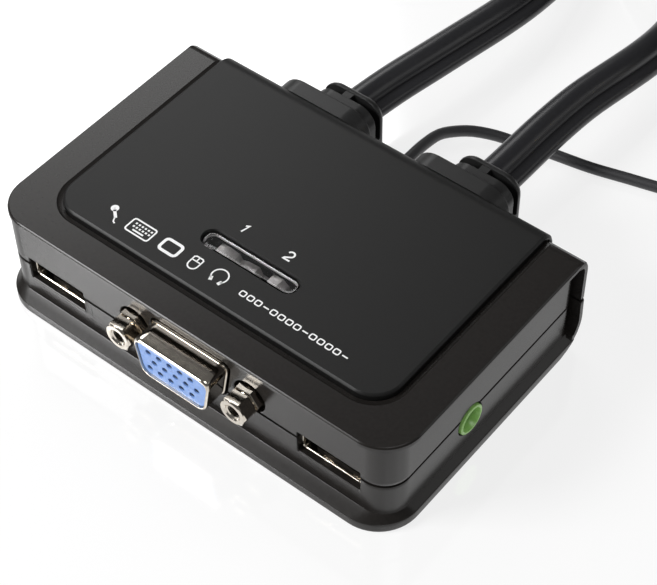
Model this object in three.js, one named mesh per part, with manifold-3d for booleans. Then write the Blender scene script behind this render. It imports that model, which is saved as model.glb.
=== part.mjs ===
// Two-port desktop KVM switch with built-in computer cables and a remote push button.
// Millimetres, +Z up. The switch stands on z = 0 with its sockets facing -Y.
// Inside the model, y is measured back from the outer face of the front wall; the outer
// group then moves everything so that the origin is under the middle of the switch.
import * as THREE from 'three';
import { mergeVertices } from 'three/addons/utils/BufferGeometryUtils.js';
import Module from 'manifold-3d';

const wasm = await Module();
wasm.setup();

// Driving dimensions of the case.
const GAP = 0.3;
const WALL = 2.2;
const HALF_WIDTH = 42.3;
const CORE_REAR = 51.8;
const REAR = 52.9;
const WRAP_THICKNESS = 1.2;
const BASE = 0.5;
const FLOOR = 2.0;
const PARTING = 10.7;
const TOP = 21.3;
const CENTRE_FROM_FRONT = 27.8;

// Lips of the case: how far the top skin and the bottom plate stand out.
const LID = { halfWidth: 43.28, front: -0.7, corner: 7.3, thickness: 1.1, roll: 3 };
const PLATE = { halfWidth: 43.68, front: -2.33, corner: 8, top: 2.1, step: 3.1, roll: 6 };

// Raised panel on top, which rolls over the rear edge.
const PANEL = { halfWidth: 35.5, front: 6.2, corner: 5.5, top: 22.3, groove: 1, skirtLow: 15 };
const PANEL_UNDER = 20.7;
const LENS = { x: 0.2, y: 16.6, halfLength: 9.7, halfWidth: 1.6, low: 20.8, high: 22.0 };

// Sockets and jacks.
const VGA = { x: 1.2, z: 13.5, mouth: -4.9, screw: 12.495 };
const USB = { x: 29.9, z: 9.55, halfWidth: 6.35, halfHeight: 2.5 };
const AUDIO = { y: 21.4, z: 8.7, radius: 3.0, bore: 1.8, tip: 42.7 };

// Board and fastenings.
const BOARD = { low: 4.4, high: 6.0, halfWidth: 38.5, front: 2.6, rear: 46.5 };
const BOSS = { x: 33, y: 32 };
const FOOT = { x: 34, front: 8, rear: 43, radius: 4 };
const LED_X = 5;

// Rear exits: strain reliefs of the two thick cables, grommet of the thin one.
const RELIEF = { x: 15.1, z: 10.7, low: 1.2, high: 21.4, halfWidth: 10, hoodRear: 56.2 };
const SLEEVE = { shift: 2.75, halfWidth: 6.45, low: 3.5, high: 20.5, corner: 3.6, rear: 61.5 };
const SLEEVE_SLOT = { front: 58.4, rear: 59.7 };
const GROMMET = { x: -0.2, z: 10.5 };

// Cords. The thick cables are wound side by side in one coil behind the switch.
const CABLE_RADIUS = 3.05;
const LEAD_RADIUS = 1.1;
const TAIL_RADIUS = 1.75;
// Each coil is given by its middle and by its inner radius, outer radius and height.
const COIL = { x: 25, y: 192, left: [45.1, 53.1, 19.3], right: [36.9, 44.8, 23.3] };
const LEAD_COIL = { x: 66, y: 82.5, ring: [8.6, 17.8, 9.3] };
const LEFT_PLUG = { x: 71.9, y: 136, z: 27.0 };
const RIGHT_PLUG = { x: -13.7, y: 248, z: 31.1 };
const LEFT_USB_PLUG = { x: 15, y: 203, z: 4.2 };
const RIGHT_USB_PLUG = { x: 35.8, y: 180.5, z: 4.2 };
const REMOTE = { x: 74, y: 114.5, halfX: 14, halfY: 12, split: 5.15, top: 12, button: 6.5 };

// Finishes.
const GLOSS_BLACK = { color: 0x0b0b0c, roughness: 0.18, metalness: 0 };
const MATTE_BLACK = { color: 0x1c1c1c, roughness: 0.6, metalness: 0 };
const RUBBER_BLACK = { color: 0x141414, roughness: 0.75, metalness: 0 };
const LEAD_GREY = { color: 0x3c3c40, roughness: 0.6, metalness: 0 };
const NICKEL = { color: 0xcfc8bb, roughness: 0.25, metalness: 1 };
const VGA_BLUE = { color: 0x6f93d8, roughness: 0.5, metalness: 0 };
const LIME = { color: 0x9be36a, roughness: 0.4, metalness: 0 };
const PINK = { color: 0xe58aa8, roughness: 0.4, metalness: 0 };
const SMOKE = { color: 0x6a6a6c, roughness: 0.15, metalness: 0 };
const BOARD_GREEN = { color: 0x1d5a35, roughness: 0.5, metalness: 0 };
const CHIP_BLACK = { color: 0x17181a, roughness: 0.6, metalness: 0 };
const LED_GREEN = { color: 0x8fe08a, roughness: 0.2, metalness: 0 };
const HEADER_WHITE = { color: 0xe8e4da, roughness: 0.5, metalness: 0 };

// --- Solids ------------------------------------------------------------------------------

// Six times the signed volume, positive when the faces look outwards.
function signedVolume(geometry) {
  const corner = new THREE.Vector3();
  const [a, b] = [new THREE.Vector3(), new THREE.Vector3()];
  const { position } = geometry.attributes;
  const index = geometry.index.array;
  let sum = 0;
  for (let i = 0; i < index.length; i += 3) {
    a.fromBufferAttribute(position, index[i]);
    b.fromBufferAttribute(position, index[i + 1]);
    corner.fromBufferAttribute(position, index[i + 2]);
    sum += a.cross(b).dot(corner);
  }
  return sum;
}

// A three.js geometry as a solid for cutting and joining.
function solid(geometry) {
  const bare = geometry.clone();
  bare.deleteAttribute('normal');
  bare.deleteAttribute('uv');
  const merged = mergeVertices(bare, 1e-4);
  const triangles = Uint32Array.from(merged.index.array);
  if (signedVolume(merged) < 0) triangles.reverse();
  const mesh = new wasm.Mesh({
    numProp: 3,
    vertProperties: Float32Array.from(merged.attributes.position.array),
    triVerts: triangles,
  });
  return new wasm.Manifold(mesh);
}

function geometryOf(body) {
  const mesh = body.getMesh();
  const geometry = new THREE.BufferGeometry();
  geometry.setAttribute('position', new THREE.BufferAttribute(mesh.vertProperties, 3));
  geometry.setIndex(new THREE.BufferAttribute(mesh.triVerts, 1));
  geometry.computeVertexNormals();
  return geometry;
}

function join(...bodies) {
  return bodies.reduce((sum, body) => sum.add(body));
}

function cut(body, ...tools) {
  return tools.reduce((rest, tool) => rest.subtract(tool), body);
}

// A rectangle with one radius at its low corners and another at its high corners.
function rounded(left, low, right, high, lowRadius, highRadius = lowRadius) {
  const shape = new THREE.Shape();
  const corners = [
    [right, low, lowRadius, -1, 1, -0.5],
    [right, high, highRadius, -1, -1, 0],
    [left, high, highRadius, 1, -1, 0.5],
    [left, low, lowRadius, 1, 1, 1],
  ];
  shape.moveTo(left + lowRadius, low);
  for (const [x, y, radius, inX, inY, turn] of corners) {
    if (radius > 0) {
      const start = turn * Math.PI;
      shape.absarc(x + inX * radius, y + inY * radius, radius, start, start + Math.PI / 2);
    } else {
      shape.lineTo(x, y);
    }
  }
  return shape;
}

// The D outline of a VGA connector: wide side up, sides leaning in by ten degrees.
function vgaOutline(x, z, halfWidth, halfHeight, radius) {
  const lean = halfHeight * Math.tan(THREE.MathUtils.degToRad(10));
  const corners = [
    [x - halfWidth + 2 * lean, z - halfHeight],
    [x + halfWidth - 2 * lean, z - halfHeight],
    [x + halfWidth, z + halfHeight],
    [x - halfWidth, z + halfHeight],
  ].map(([cx, cz]) => new THREE.Vector2(cx, cz));
  const shape = new THREE.Shape();
  corners.forEach((corner, i) => {
    const before = corners[(i + 3) % 4].clone().sub(corner).setLength(radius).add(corner);
    const after = corners[(i + 1) % 4].clone().sub(corner).setLength(radius).add(corner);
    if (i === 0) shape.moveTo(before.x, before.y);
    else shape.lineTo(before.x, before.y);
    shape.quadraticCurveTo(corner.x, corner.y, after.x, after.y);
  });
  return shape;
}

function circle(x, y, radius) {
  const shape = new THREE.Shape();
  shape.absarc(x, y, radius, 0, 2 * Math.PI);
  return shape;
}

function hexagon(x, z, acrossFlats) {
  const radius = acrossFlats / Math.sqrt(3);
  const corners = [0, 1, 2, 3, 4, 5].map((i) => new THREE.Vector2(
    x + radius * Math.cos((i * Math.PI) / 3),
    z + radius * Math.sin((i * Math.PI) / 3),
  ));
  return new THREE.Shape(corners);
}

// An outline in x, y pushed up along Z.
function prismZ(shape, low, high, curveSegments = 5) {
  const options = { depth: high - low, bevelEnabled: false, curveSegments };
  return solid(new THREE.ExtrudeGeometry(shape, options).translate(0, 0, low));
}

// An outline in x, z pushed back along Y.
function prismY(shape, front, rear, curveSegments = 5) {
  const options = { depth: rear - front, bevelEnabled: false, curveSegments };
  return solid(new THREE.ExtrudeGeometry(shape, options).rotateX(Math.PI / 2).translate(0, rear, 0));
}

// An outline in y, z pushed sideways along X.
function prismX(shape, left, right, curveSegments = 5) {
  const options = { depth: right - left, bevelEnabled: false, curveSegments };
  const turn = new THREE.Matrix4().makeBasis(
    new THREE.Vector3(0, 1, 0),
    new THREE.Vector3(0, 0, 1),
    new THREE.Vector3(1, 0, 0),
  );
  return solid(new THREE.ExtrudeGeometry(shape, options).applyMatrix4(turn).translate(left, 0, 0));
}

function box(left, front, low, right, rear, high) {
  return prismZ(rounded(left, front, right, rear, 0), low, high);
}

// A turned piece: [radius, height] pairs round the Z axis, or round Y with the height as y.
function turned(profile, sides = 16) {
  const points = profile.map(([radius, height]) => new THREE.Vector2(radius, height));
  return new THREE.LatheGeometry(points, sides);
}

function turnedZ(x, y, profile, sides) {
  return solid(turned(profile, sides).rotateX(Math.PI / 2).translate(x, y, 0));
}

function turnedY(x, z, profile, sides) {
  return solid(turned(profile, sides).translate(x, 0, z));
}

// --- Case ----------------------------------------------------------------------------------

// The box of the case walls, drawn in by an inset.
function core(inset, low, high) {
  const half = HALF_WIDTH - inset;
  const shape = rounded(-half, inset, half, CORE_REAR - inset, 5 - inset / 2, 3.3 - inset / 2);
  return prismZ(shape, low, high, 6);
}

// Every hole through the outer walls, as one cutting body.
function wallOpenings() {
  const tools = [
    prismY(vgaOutline(VGA.x, VGA.z, 8.9, 4.75, 2.2), -3, 3),
    prismX(circle(AUDIO.y, AUDIO.z, AUDIO.radius + GAP), -45, 45, 8),
    prismY(circle(GROMMET.x, GROMMET.z, 1.5 + GAP), 49, 55, 6),
  ];
  for (const side of [-1, 1]) {
    const [usb, usbHalf, usbRise] = [USB.x * side, USB.halfWidth, USB.halfHeight];
    const relief = RELIEF.x * side;
    tools.push(
      prismY(circle(VGA.x + side * VGA.screw, VGA.z, 3.2), -3, 3, 8),
      box(usb - usbHalf, -3, USB.z - usbRise, usb + usbHalf, 3, USB.z + usbRise),
      box(relief - 6.3, 49, RELIEF.z - 5.3, relief + 6.3, 55, RELIEF.z + 5.3),
    );
  }
  return join(...tools);
}

function upperHousing() {
  const lid = rounded(-LID.halfWidth, LID.front, LID.halfWidth, REAR - LID.roll, LID.corner, 0);
  const wrap = new THREE.Shape();
  const rollInner = LID.roll - WRAP_THICKNESS;
  wrap.moveTo(48, TOP);
  wrap.absarc(REAR - LID.roll, TOP - LID.roll, LID.roll, Math.PI / 2, 0, true);
  wrap.lineTo(REAR, PARTING + GAP / 2);
  wrap.lineTo(REAR - WRAP_THICKNESS, PARTING + GAP / 2);
  wrap.absarc(REAR - LID.roll, TOP - LID.roll, rollInner, 0, Math.PI / 2);
  wrap.lineTo(48, TOP - WRAP_THICKNESS);
  const outside = join(
    core(0, PARTING + GAP / 2, TOP - 2 * WRAP_THICKNESS),
    prismZ(rounded(-HALF_WIDTH, 0, HALF_WIDTH, REAR - LID.roll, 5, 0), TOP - 3, TOP - 1),
    prismZ(lid, TOP - LID.thickness, TOP, 6),
    prismX(wrap, -LID.halfWidth, LID.halfWidth),
  );
  const recessHalf = PANEL.halfWidth + PANEL.groove;
  const recessFront = PANEL.front - PANEL.groove;
  const recess = prismZ(
    rounded(-recessHalf, recessFront, recessHalf, REAR + 5, PANEL.corner + PANEL.groove, 0),
    PANEL_UNDER - GAP,
    TOP + 2,
  );
  const postTop = TOP - WALL + 0.1;
  const posts = [-1, 1].map((side) => prismZ(circle(BOSS.x * side, BOSS.y, 3), BOARD.low, postTop));
  const bores = [-1, 1].map((side) => prismZ(circle(BOSS.x * side, BOSS.y, 1.3), BOARD.low - 1, 14));
  const lights = [-1, 1].map((side) => prismZ(circle(LED_X * side, LENS.y, 1.2), TOP - 4, TOP + 2));
  const shell = cut(outside, core(WALL, PARTING - 2, TOP - WALL), recess, wallOpenings(), ...lights);
  return cut(join(shell, ...posts), ...bores);
}

function lowerHousing() {
  const plate = rounded(-PLATE.halfWidth, PLATE.front, PLATE.halfWidth, REAR + 2, PLATE.corner, 0);
  const step = rounded(-HALF_WIDTH - 0.6, -1.1, HALF_WIDTH + 0.6, REAR + 2, 6, 0);
  const side = new THREE.Shape();
  side.moveTo(PLATE.front - 1, BASE);
  side.lineTo(REAR - PLATE.roll, BASE);
  side.absarc(REAR - PLATE.roll, BASE + PLATE.roll, PLATE.roll, -Math.PI / 2, 0);
  side.lineTo(REAR, PARTING - GAP / 2);
  side.lineTo(PLATE.front - 1, PARTING - GAP / 2);
  const wrapBack = REAR - WRAP_THICKNESS;
  const outside = join(
    core(0, BASE, PARTING + 1),
    prismZ(plate, BASE, PLATE.top, 6),
    prismZ(step, PLATE.top - 0.1, PLATE.step, 6),
    box(-PLATE.halfWidth, wrapBack, BASE, PLATE.halfWidth, REAR + 1, PARTING),
  ).intersect(prismX(side, -50, 50, 6));
  const bosses = [-1, 1].map((s) => prismZ(circle(BOSS.x * s, BOSS.y, 3.6), FLOOR - 0.1, BOARD.low - GAP));
  const rests = [-1, 1].map((s) => prismZ(circle(17 * s, 12, 2), FLOOR - 0.1, BOARD.low - GAP));
  const screwWays = [-1, 1].flatMap((s) => [
    prismZ(circle(BOSS.x * s, BOSS.y, 2.9), 0, 2.4),
    prismZ(circle(BOSS.x * s, BOSS.y, 1.4), 0, 6),
  ]);
  const footRecesses = footPlaces().map(([x, y]) => prismZ(circle(x, y, FOOT.radius + GAP), 0, 1.3));
  const shell = cut(outside, core(WALL, FLOOR, PARTING + 3), wallOpenings());
  return cut(join(shell, ...bosses, ...rests), ...screwWays, ...footRecesses);
}

function footPlaces() {
  return [FOOT.front, FOOT.rear].flatMap((y) => [-1, 1].map((side) => [FOOT.x * side, y]));
}

function topPanel() {
  const roll = LID.roll + 1;
  const inner = LID.roll + GAP;
  const lift = Math.asin((PANEL_UNDER - (TOP - LID.roll)) / inner);
  const side = new THREE.Shape();
  side.moveTo(PANEL.front, PANEL_UNDER);
  side.absarc(REAR - LID.roll, TOP - LID.roll, inner, lift, 0, true);
  side.lineTo(REAR + GAP, PANEL.skirtLow);
  side.lineTo(REAR + 1, PANEL.skirtLow);
  side.absarc(REAR - LID.roll, TOP - LID.roll, roll, 0, Math.PI / 2);
  side.lineTo(PANEL.front, PANEL.top);
  const plan = rounded(-PANEL.halfWidth, PANEL.front, PANEL.halfWidth, REAR + 4, PANEL.corner, 0);
  const hoods = [-1, 1].map((s) => hoodPrism(s, GAP, REAR, REAR + 5));
  const lensHole = prismZ(lensOutline(GAP), PANEL_UNDER - 1, PANEL.top + 1, 6);
  const skin = prismX(side, -PANEL.halfWidth, PANEL.halfWidth).intersect(prismZ(plan, 0, 30));
  return cut(skin, lensHole, ...hoods);
}

function lensOutline(grow) {
  const halfWidth = LENS.halfWidth + grow;
  const halfLength = LENS.halfLength + grow;
  const { x, y } = LENS;
  return rounded(x - halfLength, y - halfWidth, x + halfLength, y + halfWidth, halfWidth - 0.01);
}

function ledLens() {
  return prismZ(lensOutline(0), LENS.low, LENS.high, 6);
}

// --- Rear exits ----------------------------------------------------------------------------

function hoodPrism(side, grow, front, rear) {
  const x = RELIEF.x * side;
  const half = RELIEF.halfWidth + grow;
  return prismY(rounded(x - half, RELIEF.low - grow, x + half, RELIEF.high + grow, 4.5), front, rear);
}

// A hood on the rear face, a slotted sleeve behind it and a neck held inside the rear wall.
function strainRelief(side) {
  const x = RELIEF.x * side;
  const middle = x + SLEEVE.shift;
  const sleeve = (inset, front, rear) => {
    const half = SLEEVE.halfWidth - inset;
    const corner = SLEEVE.corner - inset / 2;
    const shape = rounded(middle - half, SLEEVE.low + inset, middle + half, SLEEVE.high - inset, corner);
    return prismY(shape, front, rear);
  };
  const { front: slotFront, rear: slotRear } = SLEEVE_SLOT;
  const web = box(middle - 1.35, 50, 0, middle + 0.45, 65, 25);
  const slots = cut(sleeve(-1, slotFront, slotRear), sleeve(3, slotFront - 1, slotRear + 1), web);
  return join(
    hoodPrism(side, 0, REAR + GAP, RELIEF.hoodRear),
    cut(sleeve(0, RELIEF.hoodRear - 0.1, SLEEVE.rear), slots),
    box(x - 6, 49.2, RELIEF.z - 5, x + 6, REAR + 1, RELIEF.z + 5),
    box(x - 8, 47, RELIEF.z - 6, x + 8, 49.3, RELIEF.z + 6),
  );
}

function remoteGrommet() {
  const profile = [
    [0, 47.4], [2.6, 47.4], [2.6, 49.3], [1.5, 49.3],
    [1.5, 53.2], [2.3, 53.2], [1.9, 54.6], [0, 54.6],
  ];
  return turnedY(GROMMET.x, GROMMET.z, profile, 14);
}

// --- Sockets and jacks -----------------------------------------------------------------------

function vgaSocketShell() {
  const tube = cut(
    prismY(vgaOutline(VGA.x, VGA.z, 8.4, 4.25, 2), VGA.mouth, 3),
    prismY(vgaOutline(VGA.x, VGA.z, 8.0, 3.85, 1.8), VGA.mouth - 1, 4),
  );
  const flange = box(VGA.x - 15.4, 2.5, VGA.z - 5.4, VGA.x + 15.4, 3.3, VGA.z + 5.4);
  const window = prismY(vgaOutline(VGA.x, VGA.z, 8.0, 3.85, 1.8), 2, 4);
  const screwHoles = [-1, 1].map((s) => prismY(circle(VGA.x + s * VGA.screw, VGA.z, 1.7), 2, 4));
  return join(tube, cut(flange, window, ...screwHoles));
}

// Blue moulding: the face inside the shell and the block that stands on the board.
function vgaSocketInsulator() {
  const face = prismY(vgaOutline(VGA.x, VGA.z, 7.7, 3.55, 1.6), VGA.mouth + 0.4, 3.8);
  const block = box(VGA.x - 15.4, 3.6, BOARD.high + GAP, VGA.x + 15.4, 12, 18.6);
  const holes = [];
  const rows = [[1.98, -0.57, 5], [0, 0.57, 5], [-1.98, -0.57, 5]];
  for (const [dz, shift, count] of rows) {
    for (let i = 0; i < count; i += 1) {
      const x = VGA.x + shift + (i - 2) * 2.29;
      holes.push(prismY(circle(x, VGA.z + dz, 0.5), VGA.mouth, 0, 3));
    }
  }
  const screwHoles = [-1, 1].map((s) => prismY(circle(VGA.x + s * VGA.screw, VGA.z, 1.7), 3, 9));
  return cut(join(face, block), ...holes, ...screwHoles);
}

function vgaJackscrew(side) {
  const x = VGA.x + side * VGA.screw;
  const body = join(
    prismY(hexagon(x, VGA.z, 4.8), -4.3, -1.6),
    prismY(circle(x, VGA.z, 1.9), -1.7, -0.9, 6),
    prismY(hexagon(x, VGA.z, 4.8), -1.0, 2.2),
    prismY(circle(x, VGA.z, 1.4), 2.1, 8, 6),
  );
  return cut(body, prismY(circle(x, VGA.z, 1.3), -5, -1, 6));
}

function usbShell(side) {
  const x = USB.x * side;
  return cut(
    box(x - 6.55, 2.5, USB.z - 2.85, x + 6.55, 16.8, USB.z + 2.85),
    box(x - 6.25, 2, USB.z - 2.55, x + 6.25, 18, USB.z + 2.55),
  );
}

function usbTongue(side) {
  const x = USB.x * side;
  return join(
    box(x - 5.6, 3.8, USB.z + 0.3, x + 5.6, 14.5, USB.z + 2.1),
    box(x - 5.9, 14.2, USB.z - 2.2, x + 5.9, 16.6, USB.z + 2.2),
  );
}

// The right jack is turned round its own middle for the left side.
function audioJack(side) {
  const ring = prismX(circle(AUDIO.y, AUDIO.z, AUDIO.radius), 39, AUDIO.tip, 8);
  const block = box(28.5, AUDIO.y - 3.3, BOARD.high + GAP, 39.8, AUDIO.y + 3.3, 12.6);
  const bore = prismX(circle(AUDIO.y, AUDIO.z, AUDIO.bore), 30, 45, 6);
  const jack = cut(join(ring, block), bore);
  return side > 0 ? jack : jack.mirror([1, 0, 0]);
}

// --- Inside ------------------------------------------------------------------------------------

function mainBoard() {
  const shape = rounded(-BOARD.halfWidth, BOARD.front, BOARD.halfWidth, BOARD.rear, 3);
  const holes = [-1, 1].map((side) => prismZ(circle(BOSS.x * side, BOSS.y, 3.3), 0, 9));
  return cut(prismZ(shape, BOARD.low, BOARD.high), ...holes);
}

// A round light on two legs.
function portLight(side) {
  const x = LED_X * side;
  const profile = [[0, 14], [1.9, 14], [1.9, 14.9], [1.5, 14.9], [1.5, 17.2], [1, 18.2], [0, 18.6]];
  const foot = BOARD.high + GAP;
  return join(
    turnedZ(x, LENS.y, profile, 12),
    box(x - 1.5, LENS.y - 0.25, foot, x - 1, LENS.y + 0.25, 14.1),
    box(x + 1, LENS.y - 0.25, foot, x + 1.5, LENS.y + 0.25, 14.1),
  );
}

function onBoard(x, y, halfX, halfY, height) {
  const low = BOARD.high + GAP;
  return prismZ(rounded(x - halfX, y - halfY, x + halfX, y + halfY, 0.8), low, low + height, 2);
}

function capacitor() {
  const low = BOARD.high + GAP;
  return turnedZ(20, 30, [[0, low], [2.6, low], [2.6, low + 7], [2.2, low + 7.4], [0, low + 7.4]], 16);
}

function cableHeader(side) {
  const x = RELIEF.x * side;
  const low = BOARD.high + GAP;
  return cut(box(x - 10, 36, low, x + 10, 42, low + 7), box(x - 9, 37, low + 2, x + 9, 41, low + 8));
}

function foot(x, y) {
  return turnedZ(x, y, [[0, 0], [FOOT.radius - 0.3, 0], [FOOT.radius, 0.3], [FOOT.radius, 1], [0, 1]], 20);
}

function caseScrew(side) {
  const profile = [[0, 0.9], [2.3, 0.9], [2.6, 1.3], [2.6, 2], [1, 2], [1, 11], [0, 12]];
  return turnedZ(BOSS.x * side, BOSS.y, profile, 14);
}

// --- Cords ---------------------------------------------------------------------------------------

const LEFT_ROUTE = [
  [-15.5, 61.8, 10.6], [-15.4, 65, 10.6], [-14.9, 71, 10.5], [-14.1, 76.5, 10.5],
  [-13.1, 82, 10.5], [-11.5, 92, 10.3], [-9.9, 103, 9.9], [-9.5, 112, 9.0],
  [-10.6, 124, 7.0], [-13.6, 138, 4.9], [-17.6, 150, 3.6], [-19.7, 156.5, 3.2],
];
const RIGHT_ROUTE = [
  [15.0, 61.8, 10.5], [15.05, 65, 10.5], [15.2, 70, 10.5], [15.3, 80, 10.5],
  [15.6, 87, 10.5], [16.0, 92.5, 10.4], [16.7, 98, 10.2], [17.5, 103.5, 9.9],
  [18.2, 111, 9.1], [18.0, 119, 7.6], [16.4, 128, 5.4], [13.4, 135.5, 3.8],
];
const LEAD_ROUTE = [
  [-0.2, 54.9, 10.5], [-0.25, 58.5, 10.4], [-0.5, 62.3, 10.0], [-0.95, 65.8, 9.2],
  [-1.2, 71.6, 7.6], [-0.3, 75.3, 6.1], [1.6, 78.7, 4.7], [4.8, 81.8, 3.1],
  [7.0, 83.3, 2.1], [10.2, 84.9, 1.3], [14.6, 86.0, 1.15], [22.7, 87.5, 1.15],
  [29.95, 89.5, 1.15], [33.0, 90.3, 1.15], [42, 92.9, 1.15], [48, 94.9, 1.15],
  [51.8, 96.2, 1.15],
];
const LEAD_TAIL_ROUTE = [
  [49.9, 97.4, 4.3], [50.7, 102, 3.1], [52.0, 106.5, 2.5],
  [54.2, 110.6, 2.7], [57.0, 113.5, 3.1], [59.7, 114.5, 3.3],
];
const LEFT_TAIL_ROUTE = [
  [65.9, 166.3, 27.0], [65.7, 169.5, 27.6], [64.6, 173.5, 29.1], [62.2, 177.8, 30.0],
  [59.3, 181, 29.2], [56.6, 184.2, 25.5], [55.2, 187, 19], [54.4, 189.8, 11.5],
  [53.6, 193.4, 5.6], [51.8, 197.6, 3.6], [48.2, 201.4, 3.8], [44.5, 202.8, 4.2], [41.3, 203, 4.2],
];
const RIGHT_TAIL_ROUTE = [
  [-7.7, 217.7, 31.1], [-7.7, 213.8, 31.0], [-6.8, 209.4, 29.8], [-5.0, 205.6, 26.2],
  [-3.6, 202.4, 20.4], [-2.6, 198.8, 13.4], [-1.8, 194.4, 7.4], [-0.6, 189.6, 4.4],
  [1.4, 185.2, 3.6], [4.4, 181.9, 3.9], [7.2, 180.7, 4.2], [9.5, 180.5, 4.2],
];

function cord(route, radius, steps, sides) {
  const points = route.map((point) => new THREE.Vector3(...point));
  const path = new THREE.CatmullRomCurve3(points, false, 'centripetal');
  const rim = [];
  for (let i = 0; i < sides; i += 1) {
    const angle = (2 * Math.PI * i) / sides;
    rim.push(new THREE.Vector2(radius * Math.cos(angle), radius * Math.sin(angle)));
  }
  const options = { steps, extrudePath: path, bevelEnabled: false };
  return solid(new THREE.ExtrudeGeometry(new THREE.Shape(rim), options));
}

// The outer shape of a coil lying round a middle point.
function coil({ x, y }, inner, outer, top) {
  const low = 0.1;
  const profile = [[inner, low], [outer, low], [outer, top], [inner, top], [inner, low]];
  return turnedZ(x, y, profile, 32);
}

// --- Plugs, drawn with the mating end towards +Y from the front of the moulding --------------------

function vgaPlugHood(side) {
  const screwHoles = [-1, 1].map((s) => prismY(circle(s * VGA.screw, 0, 1.8), -8, 1, 6));
  const boot = [[0, -46], [4.6, -46], [5.4, -33], [5.4, -29], [0, -29]];
  const body = join(
    prismY(rounded(-17.2, -6.8, 17.2, 6.8, 3), -7, 0, 3),
    prismY(rounded(-8.6, -7.3, 8.6, 7.3, 4), -30, -1, 4),
    turnedY(2.2 * side, 0, boot, 14),
  );
  return cut(body, ...screwHoles);
}

function vgaPlugShell() {
  const screwHoles = [-1, 1].map((s) => prismY(circle(s * VGA.screw, 0, 1.8), 0, 3, 6));
  return join(
    cut(prismY(rounded(-15.2, -6, 15.2, 6, 2), GAP, 1.1, 2), ...screwHoles),
    cut(
      prismY(vgaOutline(0, 0, 8.8, 4.6, 2), 1, 6.3, 4),
      prismY(vgaOutline(0, 0, 8.35, 4.15, 1.8), 1.6, 8, 4),
    ),
  );
}

function thumbscrew() {
  const profile = [
    [0, -24], [2.7, -24], [3.3, -23], [3.3, -7.6],
    [1.4, -7.6], [1.4, 5], [0.8, 5.6], [0, 5.6],
  ];
  return turnedY(0, 0, profile, 14);
}

function usbPlugGrip() {
  return prismY(rounded(-8, -4.1, 8, 4.1, 2), -26, 0, 3);
}

function usbPlugShell() {
  return cut(box(-6, GAP, -2.25, 6, 12, 2.25), box(-5.6, 2, -0.3, 5.6, 13, 1.9));
}

// --- Remote button -----------------------------------------------------------------------------------

function remoteBase() {
  const { halfX, halfY, split } = REMOTE;
  return cut(
    prismZ(rounded(-halfX, -halfY, halfX, halfY, 4), 0, split - GAP / 2, 4),
    prismZ(rounded(-halfX + 1.6, -halfY + 1.6, halfX - 1.6, halfY - 1.6, 2.6), 1.6, split + 1, 4),
  );
}

function remoteCap() {
  const { halfX, halfY, split, top, button } = REMOTE;
  return cut(
    prismZ(rounded(-halfX, -halfY, halfX, halfY, 4), split + GAP / 2, top, 4),
    prismZ(rounded(-halfX + 1.6, -halfY + 1.6, halfX - 1.6, halfY - 1.6, 2.6), split - 1, top - 1.6, 4),
    prismZ(circle(0, 0, button + GAP), 0, top + 2, 10),
  );
}

function remoteButton() {
  const { button } = REMOTE;
  const profile = [
    [0, 6.8], [1.2, 6.8], [1.2, 8.8], [7.6, 8.8], [7.6, 9.6],
    [button, 9.6], [button, 12.7], [button - 0.6, 13.2], [0, 13.2],
  ];
  return turnedZ(0, 0, profile, 24);
}

function remoteSwitch() {
  return join(
    box(-3, -3, 1.9, 3, 3, 5.2),
    prismZ(circle(0, 0, 1.7), 5.1, 5.6, 5),
  );
}

// --- Assembly ------------------------------------------------------------------------------------------

function piece(name, body, finish) {
  const mesh = new THREE.Mesh(geometryOf(body), new THREE.MeshStandardMaterial(finish));
  mesh.name = name;
  return mesh;
}

function placed(place, turn, ...pieces) {
  const group = new THREE.Group();
  group.position.set(place.x, place.y, place.z ?? 0);
  group.rotation.z = turn;
  group.add(...pieces);
  return group;
}

function vgaPlug(name, place, turn, side) {
  const screws = [['outer', side], ['inner', -side]].map(([where, s]) => placed(
    { x: s * VGA.screw, y: 0 },
    0,
    piece(`thumbscrew_${name}_${where}`, thumbscrew(), RUBBER_BLACK),
  ));
  return placed(
    place,
    turn,
    piece(`vga_plug_hood_${name}`, vgaPlugHood(side), RUBBER_BLACK),
    piece(`vga_plug_shell_${name}`, vgaPlugShell(), NICKEL),
    ...screws,
  );
}

function usbPlug(name, place, turn) {
  return placed(
    place,
    turn,
    piece(`usb_plug_grip_${name}`, usbPlugGrip(), RUBBER_BLACK),
    piece(`usb_plug_shell_${name}`, usbPlugShell(), NICKEL),
  );
}

const kvmSwitch = new THREE.Group();
kvmSwitch.position.y = -CENTRE_FROM_FRONT;

kvmSwitch.add(
  piece('upper_housing', upperHousing(), GLOSS_BLACK),
  piece('lower_housing', lowerHousing(), GLOSS_BLACK),
  piece('top_panel', topPanel(), MATTE_BLACK),
  piece('led_lens', ledLens(), SMOKE),
  piece('vga_socket_shell', vgaSocketShell(), NICKEL),
  piece('vga_socket_insulator', vgaSocketInsulator(), VGA_BLUE),
  piece('headphone_jack', audioJack(1), LIME),
  piece('microphone_jack', audioJack(-1), PINK),
  piece('main_board', mainBoard(), BOARD_GREEN),
  piece('led_port_1', portLight(-1), LED_GREEN),
  piece('led_port_2', portLight(1), LED_GREEN),
  piece('switch_chip', onBoard(0, 28, 6, 6, 1.2), CHIP_BLACK),
  piece('crystal', onBoard(-17, 28, 5.6, 2.3, 3.4), NICKEL),
  piece('capacitor', capacitor(), CHIP_BLACK),
  piece('remote_grommet', remoteGrommet(), RUBBER_BLACK),
);

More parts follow.
